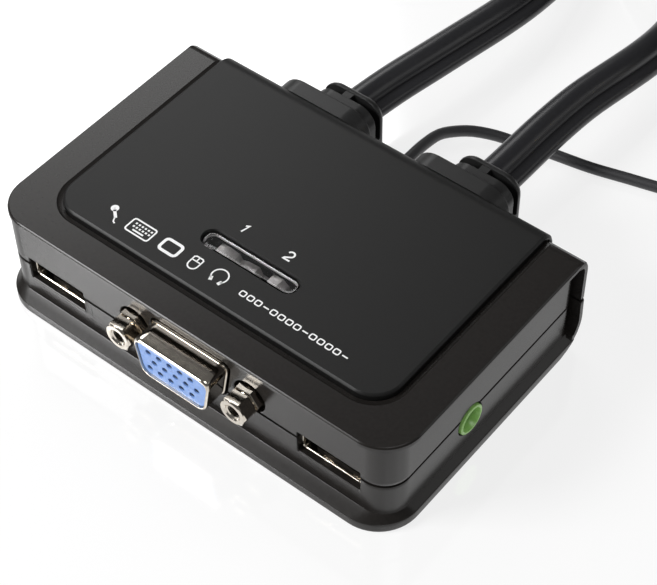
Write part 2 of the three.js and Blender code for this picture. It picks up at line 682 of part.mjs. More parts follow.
for (const [name, side] of [['left', -1], ['right', 1]]) {
  kvmSwitch.add(
    piece(`vga_jackscrew_${name}`, vgaJackscrew(side), NICKEL),
    piece(`usb_shell_${name}`, usbShell(side), NICKEL),
    piece(`usb_tongue_${name}`, usbTongue(side), CHIP_BLACK),
    piece(`cable_header_${name}`, cableHeader(side), HEADER_WHITE),
    piece(`strain_relief_${name}`, strainRelief(side), RUBBER_BLACK),
    piece(`case_screw_${name}`, caseScrew(side), NICKEL),
  );
}

footPlaces().forEach(([x, y], i) => {
  kvmSwitch.add(piece(`foot_${i + 1}`, foot(x, y), RUBBER_BLACK));
});

kvmSwitch.add(
  piece('cable_left', cord(LEFT_ROUTE, CABLE_RADIUS, 12, 10), RUBBER_BLACK),
  piece('cable_right', cord(RIGHT_ROUTE, CABLE_RADIUS, 12, 10), RUBBER_BLACK),
  piece('cable_left_coil', coil(COIL, ...COIL.left), RUBBER_BLACK),
  piece('cable_right_coil', coil(COIL, ...COIL.right), RUBBER_BLACK),
  piece('remote_cable', cord(LEAD_ROUTE, LEAD_RADIUS, 24, 8), LEAD_GREY),
  piece('remote_cable_coil', coil(LEAD_COIL, ...LEAD_COIL.ring), LEAD_GREY),
  piece('remote_cable_tail', cord(LEAD_TAIL_ROUTE, LEAD_RADIUS, 8, 8), LEAD_GREY),
  piece('usb_lead_left', cord(LEFT_TAIL_ROUTE, TAIL_RADIUS, 16, 8), RUBBER_BLACK),
  piece('usb_lead_right', cord(RIGHT_TAIL_ROUTE, TAIL_RADIUS, 16, 8), RUBBER_BLACK),
  vgaPlug('left', LEFT_PLUG, Math.PI, -1),
  vgaPlug('right', RIGHT_PLUG, 0, -1),
  usbPlug('left', LEFT_USB_PLUG, Math.PI / 2),
  usbPlug('right', RIGHT_USB_PLUG, -Math.PI / 2),
  placed(
    REMOTE,
    0,
    piece('remote_base', remoteBase(), MATTE_BLACK),
    piece('remote_cap', remoteCap(), MATTE_BLACK),
    piece('remote_button', remoteButton(), GLOSS_BLACK),
    piece('remote_switch', remoteSwitch(), CHIP_BLACK),
  ),
);

export default kvmSwitch;
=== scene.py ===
"""Looks of a two-port desktop KVM switch with built-in cables and a remote push button.

Shapes are drawn in millimetres with x centred, y measured back from the outer face of the
front wall and z above the table. They are turned into metres in the row frame at the end.
"""

import math

import bmesh
import bpy
from mathutils import Matrix, Vector


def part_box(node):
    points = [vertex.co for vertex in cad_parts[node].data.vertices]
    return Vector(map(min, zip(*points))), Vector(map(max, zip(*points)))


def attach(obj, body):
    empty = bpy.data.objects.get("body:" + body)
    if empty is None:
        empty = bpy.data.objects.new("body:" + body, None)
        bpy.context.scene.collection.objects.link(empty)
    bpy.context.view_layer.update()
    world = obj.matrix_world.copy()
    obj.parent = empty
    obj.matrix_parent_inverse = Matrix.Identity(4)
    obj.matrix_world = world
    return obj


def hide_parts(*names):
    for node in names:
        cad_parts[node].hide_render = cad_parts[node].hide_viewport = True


MM = 0.001
SIDES = {"left": -1, "right": 1}
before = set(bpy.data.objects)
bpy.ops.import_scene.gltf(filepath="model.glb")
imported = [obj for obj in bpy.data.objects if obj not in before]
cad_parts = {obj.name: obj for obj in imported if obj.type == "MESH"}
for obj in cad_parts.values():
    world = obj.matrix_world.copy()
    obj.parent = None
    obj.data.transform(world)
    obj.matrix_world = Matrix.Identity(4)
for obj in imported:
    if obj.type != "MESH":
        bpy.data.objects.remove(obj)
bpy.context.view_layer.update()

# The top lip of the upper half stands 0.7 mm in front of the front wall.
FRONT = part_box("upper_housing")[0].y + 0.7 * MM


def at(x, y, z):
    """A point of the object, in metres in the row frame."""
    return Vector((x * MM, FRONT + y * MM, z * MM))


# --- Camera ---


def add_camera(target, azimuth, elevation, roll, distance, lens):
    """Aims the camera at a point; angles in degrees, distance and focal length in millimetres."""
    azimuth, elevation, roll = (math.radians(a) for a in (azimuth, elevation, roll))
    back = Vector((
        math.sin(azimuth) * math.cos(elevation),
        -math.cos(azimuth) * math.cos(elevation),
        math.sin(elevation),
    ))
    right = Vector((0, 0, 1)).cross(back).normalized()
    up = back.cross(right)
    rolled_right = math.cos(roll) * right + math.sin(roll) * up
    rolled_up = math.cos(roll) * up - math.sin(roll) * right
    camera = bpy.data.objects.new("camera", bpy.data.cameras.new("camera"))
    camera.data.lens = lens
    camera.data.sensor_width = 36
    camera.data.clip_start = 0.01
    bpy.context.scene.collection.objects.link(camera)
    turn = Matrix((rolled_right, rolled_up, back)).transposed().to_4x4()
    camera.matrix_world = Matrix.Translation(target + distance * MM * back) @ turn
    bpy.context.scene.camera = camera


add_camera(
    at(9.98, 25.0, 13.5), azimuth=39.448, elevation=49.629, roll=-0.933, distance=311.785, lens=101.46
)

# --- Materials ---

BUMP_DEPTH = 0.02 * MM
NOISE_DETAIL = 4
NOISE_RANGE = (0.3, 0.7)


def material(name, colour, roughness, **look):
    """A principled finish with fine noise in its colour, gloss and surface.

    look may hold metallic, specular, transmission, ior, glow, vary (of colour), gloss_vary,
    grain (noise scale per metre) and bump (strength).
    """
    made = bpy.data.materials.new(name)
    made.use_nodes = True
    nodes, links = made.node_tree.nodes, made.node_tree.links
    shader = nodes["Principled BSDF"]
    coordinates = nodes.new("ShaderNodeTexCoord")
    noise = nodes.new("ShaderNodeTexNoise")
    noise.inputs["Scale"].default_value = look.get("grain", 900)
    noise.inputs["Detail"].default_value = NOISE_DETAIL
    links.new(coordinates.outputs["Object"], noise.inputs["Vector"])
    ramp = nodes.new("ShaderNodeValToRGB")
    vary = look.get("vary", 0.12)
    for element, factor, place in zip(ramp.color_ramp.elements, (1 - vary, 1 + vary), NOISE_RANGE):
        element.color = (*(min(1, c * factor) for c in colour), 1)
        element.position = place
    links.new(noise.outputs["Fac"], ramp.inputs["Fac"])
    links.new(ramp.outputs["Color"], shader.inputs["Base Color"])
    gloss = nodes.new("ShaderNodeMapRange")
    spread = look.get("gloss_vary", 0.04)
    gloss.inputs["To Min"].default_value = max(0.02, roughness - spread)
    gloss.inputs["To Max"].default_value = min(1, roughness + spread)
    links.new(noise.outputs["Fac"], gloss.inputs["Value"])
    links.new(gloss.outputs["Result"], shader.inputs["Roughness"])
    shader.inputs["Emission Color"].default_value = (1, 1, 1, 1)
    if look.get("bump"):
        bump = nodes.new("ShaderNodeBump")
        bump.inputs["Strength"].default_value = look["bump"]
        bump.inputs["Distance"].default_value = BUMP_DEPTH
        links.new(noise.outputs["Fac"], bump.inputs["Height"])
        links.new(bump.outputs["Normal"], shader.inputs["Normal"])
    sockets = {
        "metallic": "Metallic",
        "specular": "Specular IOR Level",
        "transmission": "Transmission Weight",
        "ior": "IOR",
        "glow": "Emission Strength",
    }
    for key, socket in sockets.items():
        if key in look:
            shader.inputs[socket].default_value = look[key]
    return made


LOOKS = {
    "case": material(
        "case_plastic", (0.013, 0.0115, 0.0105), 0.25, ior=1.36, grain=1500, bump=0.05, gloss_vary=0.02
    ),
    "panel": material("panel_texture", (0.008, 0.0079, 0.0077), 0.42, grain=4200, bump=0.25, specular=0.3),
    "lens": material(
        "lens_acrylic", (0.93, 0.93, 0.94), 0.03, transmission=1.0, ior=1.49, vary=0.01, gloss_vary=0.01
    ),
    "nickel": material(
        "nickel_plate", (0.62, 0.57, 0.5), 0.1, metallic=1, grain=700, bump=0.01, gloss_vary=0.03
    ),
    # Darkened tin for the USB socket cans: painted shade inside the sockets.
    "can": material("painted_shade_tin", (0.07, 0.066, 0.06), 0.35, metallic=1, grain=700),
    "steel": material("dull_steel", (0.42, 0.41, 0.40), 0.32, metallic=1, grain=800, bump=0.1),
    "gold": material("gold_contact", (0.83, 0.6, 0.25), 0.25, metallic=1),
    "blue": material("blue_nylon", (0.165, 0.29, 0.6), 0.42, grain=1500, bump=0.1),
    "lime": material("lime_plastic", (0.26, 0.5, 0.13), 0.25, grain=1500, bump=0.08),
    "pink": material("pink_plastic", (0.62, 0.16, 0.26), 0.35, grain=1500, bump=0.08),
    # Near-black, used as painted shade in the VGA pin holes and round the light bar.
    "hole": material("painted_shade_black", (0.004, 0.004, 0.004), 0.8),
    "board": material("solder_mask", (0.02, 0.13, 0.05), 0.4, grain=500),
    "led": material("led_epoxy", (0.5, 0.52, 0.5), 0.15, specular=0.6),
    # Pale grey ring under the window's edge: a painted highlight.
    "rim": material("painted_highlight_rim", (0.42, 0.4, 0.39), 0.3, vary=0.03),
    "chip": material("moulded_epoxy", (0.018, 0.018, 0.02), 0.55, grain=3000, bump=0.2),
    "header": material("white_nylon", (0.72, 0.7, 0.63), 0.45),
    "rubber": material("relief_vinyl", (0.012, 0.012, 0.012), 0.38, grain=2500, bump=0.15, specular=0.4),
    "cable": material("cable_vinyl", (0.014, 0.014, 0.016), 0.32, grain=1800, bump=0.12),
    "lead": material("lead_vinyl", (0.028, 0.028, 0.03), 0.45, grain=2500, bump=0.15),
    "plug": material("plug_vinyl", (0.009, 0.009, 0.0095), 0.38, grain=2500, bump=0.2),
    "print": material("white_ink", (0.85, 0.85, 0.85), 0.5, vary=0.03),
    "guide": material("light_guide", (0.4, 0.38, 0.37), 0.3, metallic=0.3, vary=0.15),
    "floor": material("floor", (0.2, 0.2, 0.2), 0.09, ior=2.2, vary=0, grain=5, gloss_vary=0, glow=0.78),
}

# --- Outlines ---


def arc(x, y, radius, start, end, steps):
    """Points of an arc, its ends included, with the angles in degrees."""
    return [
        (
            x + radius * math.cos(math.radians(start + (end - start) * i / steps)),
            y + radius * math.sin(math.radians(start + (end - start) * i / steps)),
        )
        for i in range(steps + 1)
    ]


def circle(x, y, radius, sides=32):
    return arc(x, y, radius, 0, 360, sides)[:-1]


def rounded(left, low, right, high, radius, steps=6):
    """A rectangle with rounded corners, anticlockwise."""
    return (
        arc(left + radius, low + radius, radius, 180, 270, steps)
        + arc(right - radius, low + radius, radius, 270, 360, steps)
        + arc(right - radius, high - radius, radius, 0, 90, steps)
        + arc(left + radius, high - radius, radius, 90, 180, steps)
    )


def centred(x, y, half_width, half_height, radius, steps):
    """A rectangle with rounded corners, from its middle."""
    return rounded(x - half_width, y - half_height, x + half_width, y + half_height, radius, steps)


def inset_rect(left, low, right, high, radius, inset):
    """A rectangle with rounded corners, drawn in by an inset."""
    corner = max(0.3, radius - inset)
    return rounded(left + inset, low + inset, right - inset, high - inset, corner, 8)


def d_outline(x, z, half_width, half_height, radius, steps=6):
    """The D outline of a VGA connector: wide side up, sides leaning in by ten degrees."""
    lean = half_height * math.tan(math.radians(10))
    corners = [
        Vector((x - half_width + 2 * lean, z - half_height)),
        Vector((x + half_width - 2 * lean, z - half_height)),
        Vector((x + half_width, z + half_height)),
        Vector((x - half_width, z + half_height)),
    ]
    points = []
    for i, corner in enumerate(corners):
        before = corner + (corners[i - 1] - corner).normalized() * radius
        after = corner + (corners[(i + 1) % 4] - corner).normalized() * radius
        for j in range(steps + 1):
            t = j / steps
            point = before.lerp(corner, t).lerp(corner.lerp(after, t), t)
            points.append((point.x, point.y))
    return points


def hexagon(x, z, across, sides=36):
    """A slightly turned hexagon with many points, so that it can be lofted to a circle."""
    turn = math.radians(6)
    points = []
    for i in range(sides):
        angle = 2 * math.pi * i / sides
        radius = across / 2 / math.cos((angle % (math.pi / 3)) - math.pi / 6)
        points.append((x + radius * math.cos(angle + turn), z + radius * math.sin(angle + turn)))
    return points


# --- Solids ---


def mesh_object(name, verts, faces):
    """A mesh of its own, still in millimetres."""
    mesh = bpy.data.meshes.new(name)
    mesh.from_pydata([tuple(v) for v in verts], [], faces)
    mesh.validate()
    obj = bpy.data.objects.new(name, mesh)
    bpy.context.scene.collection.objects.link(obj)
    return obj


def skin(rings, closed=False):
    """Vertices and faces of a skin over rings of equally many points, with flat ends."""
    count = len(rings[0])
    verts = [point for ring in rings for point in ring]
    faces = []
    spans = len(rings) if closed else len(rings) - 1
    for k in range(spans):
        low, high = k * count, (k + 1) % len(rings) * count
        for i in range(count):
            j = (i + 1) % count
            faces.append((low + i, low + j, high + j, high + i))
    if not closed:
        faces.append(tuple(reversed(range(count))))
        faces.append(tuple(range((len(rings) - 1) * count, len(rings) * count)))
    return verts, faces


def loft(name, rings, closed=False):
    """A solid over rings of points; a closed one joins its last ring to its first."""
    obj = mesh_object(name, *skin(rings, closed))
    outwards(obj)
    return obj


def outwards(obj):
    """Turns every face of a closed mesh outwards."""
    work = bmesh.new()
    work.from_mesh(obj.data)
    bmesh.ops.recalc_face_normals(work, faces=work.faces)
    work.to_mesh(obj.data)
    work.free()


def up_z(outline, z):
    return [(x, y, z) for x, y in outline]


def along_y(outline, y):
    """An outline in x, z at one y."""
    return [(x, y, z) for x, z in outline]


def along_x(outline, x):
    """An outline in y, z at one x."""
    return [(x, y, z) for y, z in outline]


def loft_y(name, outline_at, rings, closed=False):
    """A loft along y from pairs of y and the amount by which the outline grows or shrinks."""
    return loft(name, [along_y(outline_at(amount), y) for y, amount in rings], closed)


def loft_z(name, outline_at, rings):
    """The same along z, from pairs of z and amount."""
    return loft(name, [up_z(outline_at(amount), z) for z, amount in rings])


def prism_z(outline, low, high, name="tool"):
    return loft(name, [up_z(outline, low), up_z(outline, high)])


def prism_y(outline, front, rear, name="tool"):
    return loft(name, [along_y(outline, front), along_y(outline, rear)])


def prism_x(outline, left, right, name="tool"):
    return loft(name, [along_x(outline, left), along_x(outline, right)])


def box(left, front, low, right, rear, high, name="tool"):
    outline = [(left, front), (right, front), (right, rear), (left, rear)]
    return prism_z(outline, low, high, name)


def turned_z(x, y, profile, sides=40, name="tool"):
    """A turned piece round a vertical line, from radius and height pairs."""
    rings = [up_z(circle(x, y, max(radius, 0.001), sides), z) for radius, z in profile]
    return loft(name, rings)


def turned_y(x, z, profile, sides=32, name="tool"):
    """A turned piece round a line along y, from radius and y pairs."""
    rings = [along_y(circle(x, z, max(radius, 0.001), sides), y) for radius, y in profile]
    return loft(name, rings)


def join(name, objects):
    """One object out of several, which are used up."""
    verts, faces = [], []
    for obj in objects:
        start = len(verts)
        verts += [v.co.copy() for v in obj.data.vertices]
        faces += [tuple(start + i for i in p.vertices) for p in obj.data.polygons]
        bpy.data.objects.remove(obj)
    return mesh_object(name, verts, faces)


def carve(obj, tools, operation="DIFFERENCE"):
    """Cuts the tools out of a solid one after another; the tools are used up."""
    for tool in tools:
        change = obj.modifiers.new("cut", "BOOLEAN")
        change.operation = operation
        change.solver = "EXACT"
        change.object = tool
    bpy.context.view_layer.update()
    graph = bpy.context.evaluated_depsgraph_get()
    mesh = bpy.data.meshes.new_from_object(obj.evaluated_get(graph))
    obj.modifiers.clear()
    obj.data = mesh
    for tool in tools:
        bpy.data.objects.remove(tool)
    return obj


def settle(obj, look, *nodes, body="case", slot=None, place=(0, 0, 0), turn=0, bevel=0, angle=32):
    """Places a finished piece, gives it its look and lets it ride on a body in place of CAD nodes."""
    move = Matrix.Translation(at(*place)) @ Matrix.Rotation(turn, 4, "Z") @ Matrix.Scale(MM, 4)
    obj.data.transform(move)
    obj.data.materials.clear()
    obj.data.materials.append(LOOKS[look])
    obj.data.shade_smooth()
    if bevel:
        edge = obj.modifiers.new("edge", "BEVEL")
        edge.width = bevel * MM
        edge.segments = 2
        edge.limit_method = "ANGLE"
        edge.angle_limit = math.radians(angle)
        edge.use_clamp_overlap = True
    else:
        obj.data.set_sharp_from_angle(angle=math.radians(angle))
    normals = obj.modifiers.new("normals", "WEIGHTED_NORMAL")
    normals.keep_sharp = True
    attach(obj, body)
    if nodes:
        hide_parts(*nodes)


# --- Cords ---

# Middle lines of the cords. Each thick cable and the remote lead go on as a coil.
LEFT_ROUTE = [
    (-15.5, 60.8, 10.6), (-15.4, 65, 10.6), (-14.9, 71, 10.5), (-14.1, 76.5, 10.5),
    (-13.1, 82, 10.5), (-11.5, 92, 10.3), (-9.9, 103, 9.9), (-9.5, 112, 9.0),
    (-10.6, 124, 7.0), (-13.6, 138, 4.9), (-17.6, 150, 3.6), (-19.7, 156.5, 3.2),
    (-22.2, 168, 3.1), (-23.8, 180, 3.1),
]
RIGHT_ROUTE = [
    (15.0, 60.8, 10.5), (15.05, 65, 10.5), (15.2, 70, 10.5), (15.3, 80, 10.5),
    (15.6, 87, 10.5), (16.0, 92.5, 10.4), (16.7, 98, 10.2), (17.5, 103.5, 9.9),
    (18.2, 111, 9.1), (18.0, 119, 7.6), (16.4, 128, 5.4), (13.4, 135.5, 3.8),
    (9.0, 143, 3.2), (2.0, 153.5, 3.1), (-5.5, 164, 3.1), (-11.8, 175, 3.1), (-15.0, 184, 3.1),
]
LEAD_ROUTE = [
    (-0.2, 54.9, 10.5), (-0.25, 58.5, 10.4), (-0.5, 62.3, 10.0), (-0.95, 65.8, 9.2),
    (-1.2, 71.6, 7.6), (-0.3, 75.3, 6.1), (1.6, 78.7, 4.7), (4.8, 81.8, 3.1),
    (7.0, 83.3, 2.1), (10.2, 84.9, 1.3), (14.6, 86.0, 1.15), (22.7, 87.5, 1.15),
    (29.95, 89.5, 1.15), (33.0, 90.3, 1.15), (42, 92.9, 1.15), (48, 94.9, 1.15),
    (51.8, 96.2, 1.15), (60, 98.8, 1.15),
]
LEAD_TAIL_ROUTE = [
    (49.2, 87, 7.5), (49.3, 92, 6.3), (49.9, 97.4, 4.3), (50.7, 102, 3.1), (52.0, 106.5, 2.5),
    (54.2, 110.6, 2.7), (57.0, 113.5, 3.1), (59.7, 114.5, 3.3),
]
LEFT_TAIL_ROUTE = [
    (65.9, 166.3, 27.0), (65.7, 169.5, 27.6), (64.6, 173.5, 29.1), (62.2, 177.8, 30.0),
    (59.3, 181, 29.2), (56.6, 184.2, 25.5), (55.2, 187, 19), (54.4, 189.8, 11.5),
    (53.6, 193.4, 5.6), (51.8, 197.6, 3.6), (48.2, 201.4, 3.8), (44.5, 202.8, 4.2), (41.3, 203, 4.2),
]
RIGHT_TAIL_ROUTE = [
    (-7.7, 217.7, 31.1), (-7.7, 213.8, 31.0), (-6.8, 209.4, 29.8), (-5.0, 205.6, 26.2),
    (-3.6, 202.4, 20.4), (-2.6, 198.8, 13.4), (-1.8, 194.4, 7.4), (-0.6, 189.6, 4.4),
    (1.4, 185.2, 3.6), (4.4, 181.9, 3.9), (7.2, 180.7, 4.2), (9.5, 180.5, 4.2),
]
COIL = {"x": 25, "y": 192, "left": 49.1, "right": 40.9, "low": 3.1, "pitch": 8.2}
LEAD_COIL = {"x": 66, "y": 82.5, "columns": (16.65, 14.35, 12.05, 9.75), "low": 1.15, "layer": 2.2}


def ease(t):
    """A soft step from 0 to 1."""
    t = min(1, max(0, t))
    return t * t * (3 - 2 * t)


def cable_coil(radius, turns, end_height):
    """Clockwise turns from the left of the coil, the last quarter rising to the plug."""
    steps = round(turns * 36)
    points = []
    for i in range(steps + 1):
        t = turns * i / steps
        angle = math.pi - 2 * math.pi * t
        rise = end_height - COIL["low"] - COIL["pitch"] * turns
        z = COIL["low"] + COIL["pitch"] * t + rise * ease((t - turns + 0.25) / 0.25)
        points.append((COIL["x"] + radius * math.cos(angle), COIL["y"] + radius * math.sin(angle), z))
    return points


def lead_coil(turns):
    """The remote lead's neat coil: four columns wound outwards in, then inwards out."""
    columns = LEAD_COIL["columns"]

    def lie(turn):
        layer, place = divmod(turn, len(columns))
        column = place if layer % 2 == 0 else len(columns) - 1 - place
        return columns[column], LEAD_COIL["low"] + LEAD_COIL["layer"] * layer

    steps = round(turns * 28)
    points = []
    for i in range(steps + 1):
        t = turns * i / steps
        turn = min(int(t), math.ceil(turns) - 1)
        step = ease((t - turn - 0.8) / 0.2)
        (radius, z), (next_radius, next_z) = lie(turn), lie(turn + 1)
        radius += (next_radius - radius) * step
        z += (next_z - z) * step
        angle = math.pi / 2 - 2 * math.pi * t
        points.append((
            LEAD_COIL["x"] + radius * math.cos(angle),
            LEAD_COIL["y"] + radius * math.sin(angle),
            z,
        ))
    return points


# Knots between which each level of a Catmull-Rom point is interpolated.
KNOT_SPANS = (((0, 1), (1, 2), (2, 3)), ((0, 2), (1, 3)), ((1, 2),))


def smooth_path(points, step):
    """A Catmull-Rom line through the points, with about one point per step."""
    points = [Vector(p) for p in points]
    ends = [2 * points[0] - points[1], *points, 2 * points[-1] - points[-2]]
    path = []
    for a, b, c, d in zip(ends, ends[1:], ends[2:], ends[3:]):
        times = [0.0]
        for p, q in ((a, b), (b, c), (c, d)):
            times.append(times[-1] + math.sqrt((q - p).length))
        parts = max(1, round((c - b).length / step))
        for i in range(parts):
            t = times[1] + (times[2] - times[1]) * i / parts
            line = [a, b, c, d]
            for level in KNOT_SPANS:
                line = [
                    line[k].lerp(line[k + 1], (t - times[start]) / (times[end] - times[start]))
                    for k, (start, end) in enumerate(level)
                ]
            path.append(line[0])
    path.append(points[-1])
    return path


def twin_section(sides=36):
    """Section of the thick cable: a round VGA core with a thinner USB lead moulded to its right."""
    lobes = [(-0.95, 0.35, 2.8), (2.35, -0.9, 1.6)]  # Middle and radius of each.
    points = []
    for i in range(sides):
        angle = 2 * math.pi * i / sides
        ray = Vector((math.cos(angle), math.sin(angle)))
        reach = 0
        for x, y, radius in lobes:
            along = ray.x * x + ray.y * y
            across = x * x + y * y - along * along
            if across < radius * radius:
                half = math.sqrt(radius * radius - across)
                if along - half <= max(reach, 0.01):
                    reach = max(reach, along + half)
        points.append(ray * reach)
    return points


def tube(name, path, section):
    """Sweeps a section, in right and up coordinates, along a path that never points straight up."""
    rings = []
    for i, point in enumerate(path):
        forward = (path[min(i + 1, len(path) - 1)] - path[max(i - 1, 0)]).normalized()
        right = forward.cross(Vector((0, 0, 1))).normalized()
        up = right.cross(forward)
        rings.append([point + right * x + up * y for x, y in section])
    return loft(name, rings)


def metres(path):
    """A line as plain points in metres."""
    return [tuple(at(*point)) for point in path]


def round_cord(name, path, diameter, look, *nodes):
    """A cord as a curve of one open spline with a round section; it stands in for CAD nodes."""
    curve = bpy.data.curves.new(name, "CURVE")
    curve.dimensions = "3D"
    curve.bevel_depth = diameter * MM / 2
    curve.bevel_resolution = 4
    curve.use_fill_caps = True
    spline = curve.splines.new("POLY")
    spline.points.add(len(path) - 1)
    for point, place in zip(spline.points, metres(path)):
        point.co = (*place, 1)
    spline.use_smooth = True
    cord = bpy.data.objects.new(name, curve)
    bpy.context.scene.collection.objects.link(cord)
    curve.materials.append(LOOKS[look])
    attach(cord, "case")
    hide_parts(*nodes)
    return cord


# Where each plug lies and how far it is turned about the vertical.
VGA_PLUGS = {
    "left": {"place": (71.9, 136, 27.0), "turn": math.pi},
    "right": {"place": (-13.7, 248, 31.1), "turn": 0},
}
USB_PLUGS = {
    "left": {"place": (15, 203, 4.2), "turn": math.pi / 2},
    "right": {"place": (35.8, 180.5, 4.2), "turn": -math.pi / 2},
}
TAIL_WIDTH = 3.5
LEAD_WIDTH = 2.2

# Each thick cable runs from its relief through its turns of the coil to the height of its plug.
left_z, right_z = (VGA_PLUGS[side]["place"][2] for side in SIDES)
cable_points = {
    "left": [
        *LEFT_ROUTE, *cable_coil(COIL["left"], 2.5, left_z), (74.1, 186.5, left_z), (74.1, 182.2, left_z),
    ],
    "right": [
        *RIGHT_ROUTE, *cable_coil(COIL["right"], 3, right_z), (-15.9, 196, right_z), (-15.9, 201.7, right_z),
    ],
}
tail_points = {"left": LEFT_TAIL_ROUTE, "right": RIGHT_TAIL_ROUTE}
lead_points = LEAD_ROUTE + lead_coil(15.75) + LEAD_TAIL_ROUTE
cords = {}

for side in SIDES:
    path = smooth_path(cable_points[side], 3.0)
    cable = tube(f"computer_cable_{side}", path, twin_section())
    settle(cable, "cable", f"cable_{side}", f"cable_{side}_coil", angle=50)
    tail_path = smooth_path(tail_points[side], 1.5)
    tail = round_cord(f"usb_tail_{side}", tail_path, TAIL_WIDTH, "cable", f"usb_lead_{side}")
    cords[side] = (cable, path, tail, tail_path)

lead_path = smooth_path(lead_points, 1.6)
lead_nodes = ("remote_cable", "remote_cable_coil", "remote_cable_tail")
remote_lead = round_cord("remote_lead", lead_path, LEAD_WIDTH, "lead", *lead_nodes)

# --- Case ---

# Height, front, half width, front corner radius and half width of the rear wrap.
LOWER_STACK = [
    (0.15, -2.1, 43.45, 7.8, 43.45), (0.22, -2.28, 43.63, 7.95, 43.63),
    (0.32, -2.33, 43.68, 8, 43.68), (1.86, -2.33, 43.68, 8, 43.68),
    (1.97, -2.28, 43.63, 7.95, 43.65), (2.04, -2.14, 43.49, 7.8, 43.6),
    (3.08, -0.08, 42.38, 5.05, 43.6), (3.16, -0.01, 42.31, 5, 43.6),
    (3.3, 0, 42.3, 5, 43.58), (6.5, 0, 42.3, 5, 43.5),
    (10.34, 0, 42.3, 5, 43.4), (10.4, 0.03, 42.27, 4.97, 43.37),
    (10.43, 0.12, 42.18, 4.9, 43.3),
]
UPPER_STACK = [
    (10.97, 0.12, 42.18, 4.9, 43.16), (11, 0.03, 42.27, 4.97, 43.25),
    (11.06, 0, 42.3, 5, 43.28), (18.3, 0, 42.3, 5, 43.28),
    (19.2, 0, 42.3, 5, 43.28), (19.95, 0, 42.3, 5, 43.28),
    (19.96, 0.35, 41.95, 4.7, 43.28), (20.2, 0.35, 41.95, 4.7, 43.28),
    (20.21, -0.55, 43.13, 7.2, 43.2), (20.32, -0.7, 43.28, 7.3, 43.28),
    (20.96, -0.7, 43.28, 7.3, 43.28), (21.02, -0.67, 43.25, 7.25, 43.25),
    (21.26, -0.43, 43.01, 7.05, 43.01), (21.3, -0.34, 42.92, 7, 42.92),
]

# The wrap stands out beside the rear of the case and rolls over above and below.
WRAP_FRONT = 50.0
REAR = 52.9
TOP_ROLL = {"y": 49.9, "z": 18.3, "radius": 3.0}
FOOT_ROLL = {"y": 46.9, "z": 6.5, "radius": 6.0}
WRAP_THICKNESS = 1.2

# Places and sizes of what the case holds.
VGA = {"x": 1.2, "z": 13.5, "screw": 12.495, "pitch": 2.29}
USB = {"x": 29.9, "z": 9.55, "contacts": (-3.5, -1.0, 1.0, 3.5)}
AUDIO = {"y": 21.4, "z": 8.7, "radius": 3.0, "bore": 1.8, "tip": 42.7}
LENS = {"x": 0.3, "y": 16.6, "half_length": 9.75, "half_width": 1.6}
CAVITY = (-40.1, 2.2, 40.1, 49.6, 3.5)
RELIEF_X = 15.1
LEAD_EXIT = (-0.2, 10.5)
BOARD_TOP = 6.3
BOTTOM_SCREW = {"x": 33, "y": 32}
FOOT = {"x": 34, "front": 8, "rear": 43}
PANEL_TOP = 22.3
PANEL = {"half": 35.5, "front": 6.2, "corner": 5.5, "skirt_low": 15.0, "roll": 4.0}


def rear_at(z):
    """How far back the wrap reaches at one height."""
    for roll, drop in ((TOP_ROLL, z - TOP_ROLL["z"]), (FOOT_ROLL, FOOT_ROLL["z"] - z)):
        if drop > 0:
            return roll["y"] + math.sqrt(max(0, roll["radius"] ** 2 - drop * drop))
    return REAR


def plan(front, half, radius, wing, rear):
    """The case seen from above: rounded front corners and a rear edge that stands out a little."""
    step = min(WRAP_FRONT, rear - 0.8)
    soft = 0.3
    right = [(half, step - 0.2), (wing, step), (wing, rear - soft), (wing - soft, rear)]
    left = [(-x, y) for x, y in reversed(right)]
    return (
        arc(-half + radius, front + radius, radius, 180, 270, 14)
        + arc(half - radius, front + radius, radius, 270, 360, 14)
        + right
        + left
    )


def stack(name, sections):
    """A case half as a stack of outlines, refined where the wrap rolls over."""
    rings = []
    for low, high in zip(sections, sections[1:]):
        parts = max(1, round((high[0] - low[0]) / 0.6))
        for i in range(parts):
            rings.append([a + (b - a) * i / parts for a, b in zip(low, high)])
    rings.append(sections[-1])
    return loft(name, [up_z(plan(*ring[1:], rear_at(ring[0])), ring[0]) for ring in rings])


def pockets():
    """The recess between the side wall and the wrap, with its round corner, on both sides."""
    inner = TOP_ROLL["radius"] - WRAP_THICKNESS
    low_inner = FOOT_ROLL["radius"] - WRAP_THICKNESS
    side = [(40, 3.2)]
    side += arc(FOOT_ROLL["y"], FOOT_ROLL["z"], low_inner, -43, 0, 8)
    side += arc(TOP_ROLL["y"], TOP_ROLL["z"], inner, 0, 90, 6)
    side += [(40, TOP_ROLL["z"] + inner)]
    made = []
    for sign in (-1, 1):
        outline = [(sign * 46, 48.4)]
        outline += [(sign * x, y) for x, y in arc(39, 48.4, 3.3, 0, 90, 12)]
        outline += [(sign * 39, 56), (sign * 46, 56)]
        cutter = prism_z(outline, 0, 22)
        made.append(carve(cutter, [prism_x(side, -50, 50)], "INTERSECT"))
    return made


def flared_y(outline_at, depth, mouth=0.25):
    """A hole through the front wall whose edge is rounded by a small flare."""
    return loft_y("tool", outline_at, [(-0.4, mouth), (0, mouth), (0.06, 0.11), (mouth, 0), (depth, 0)])


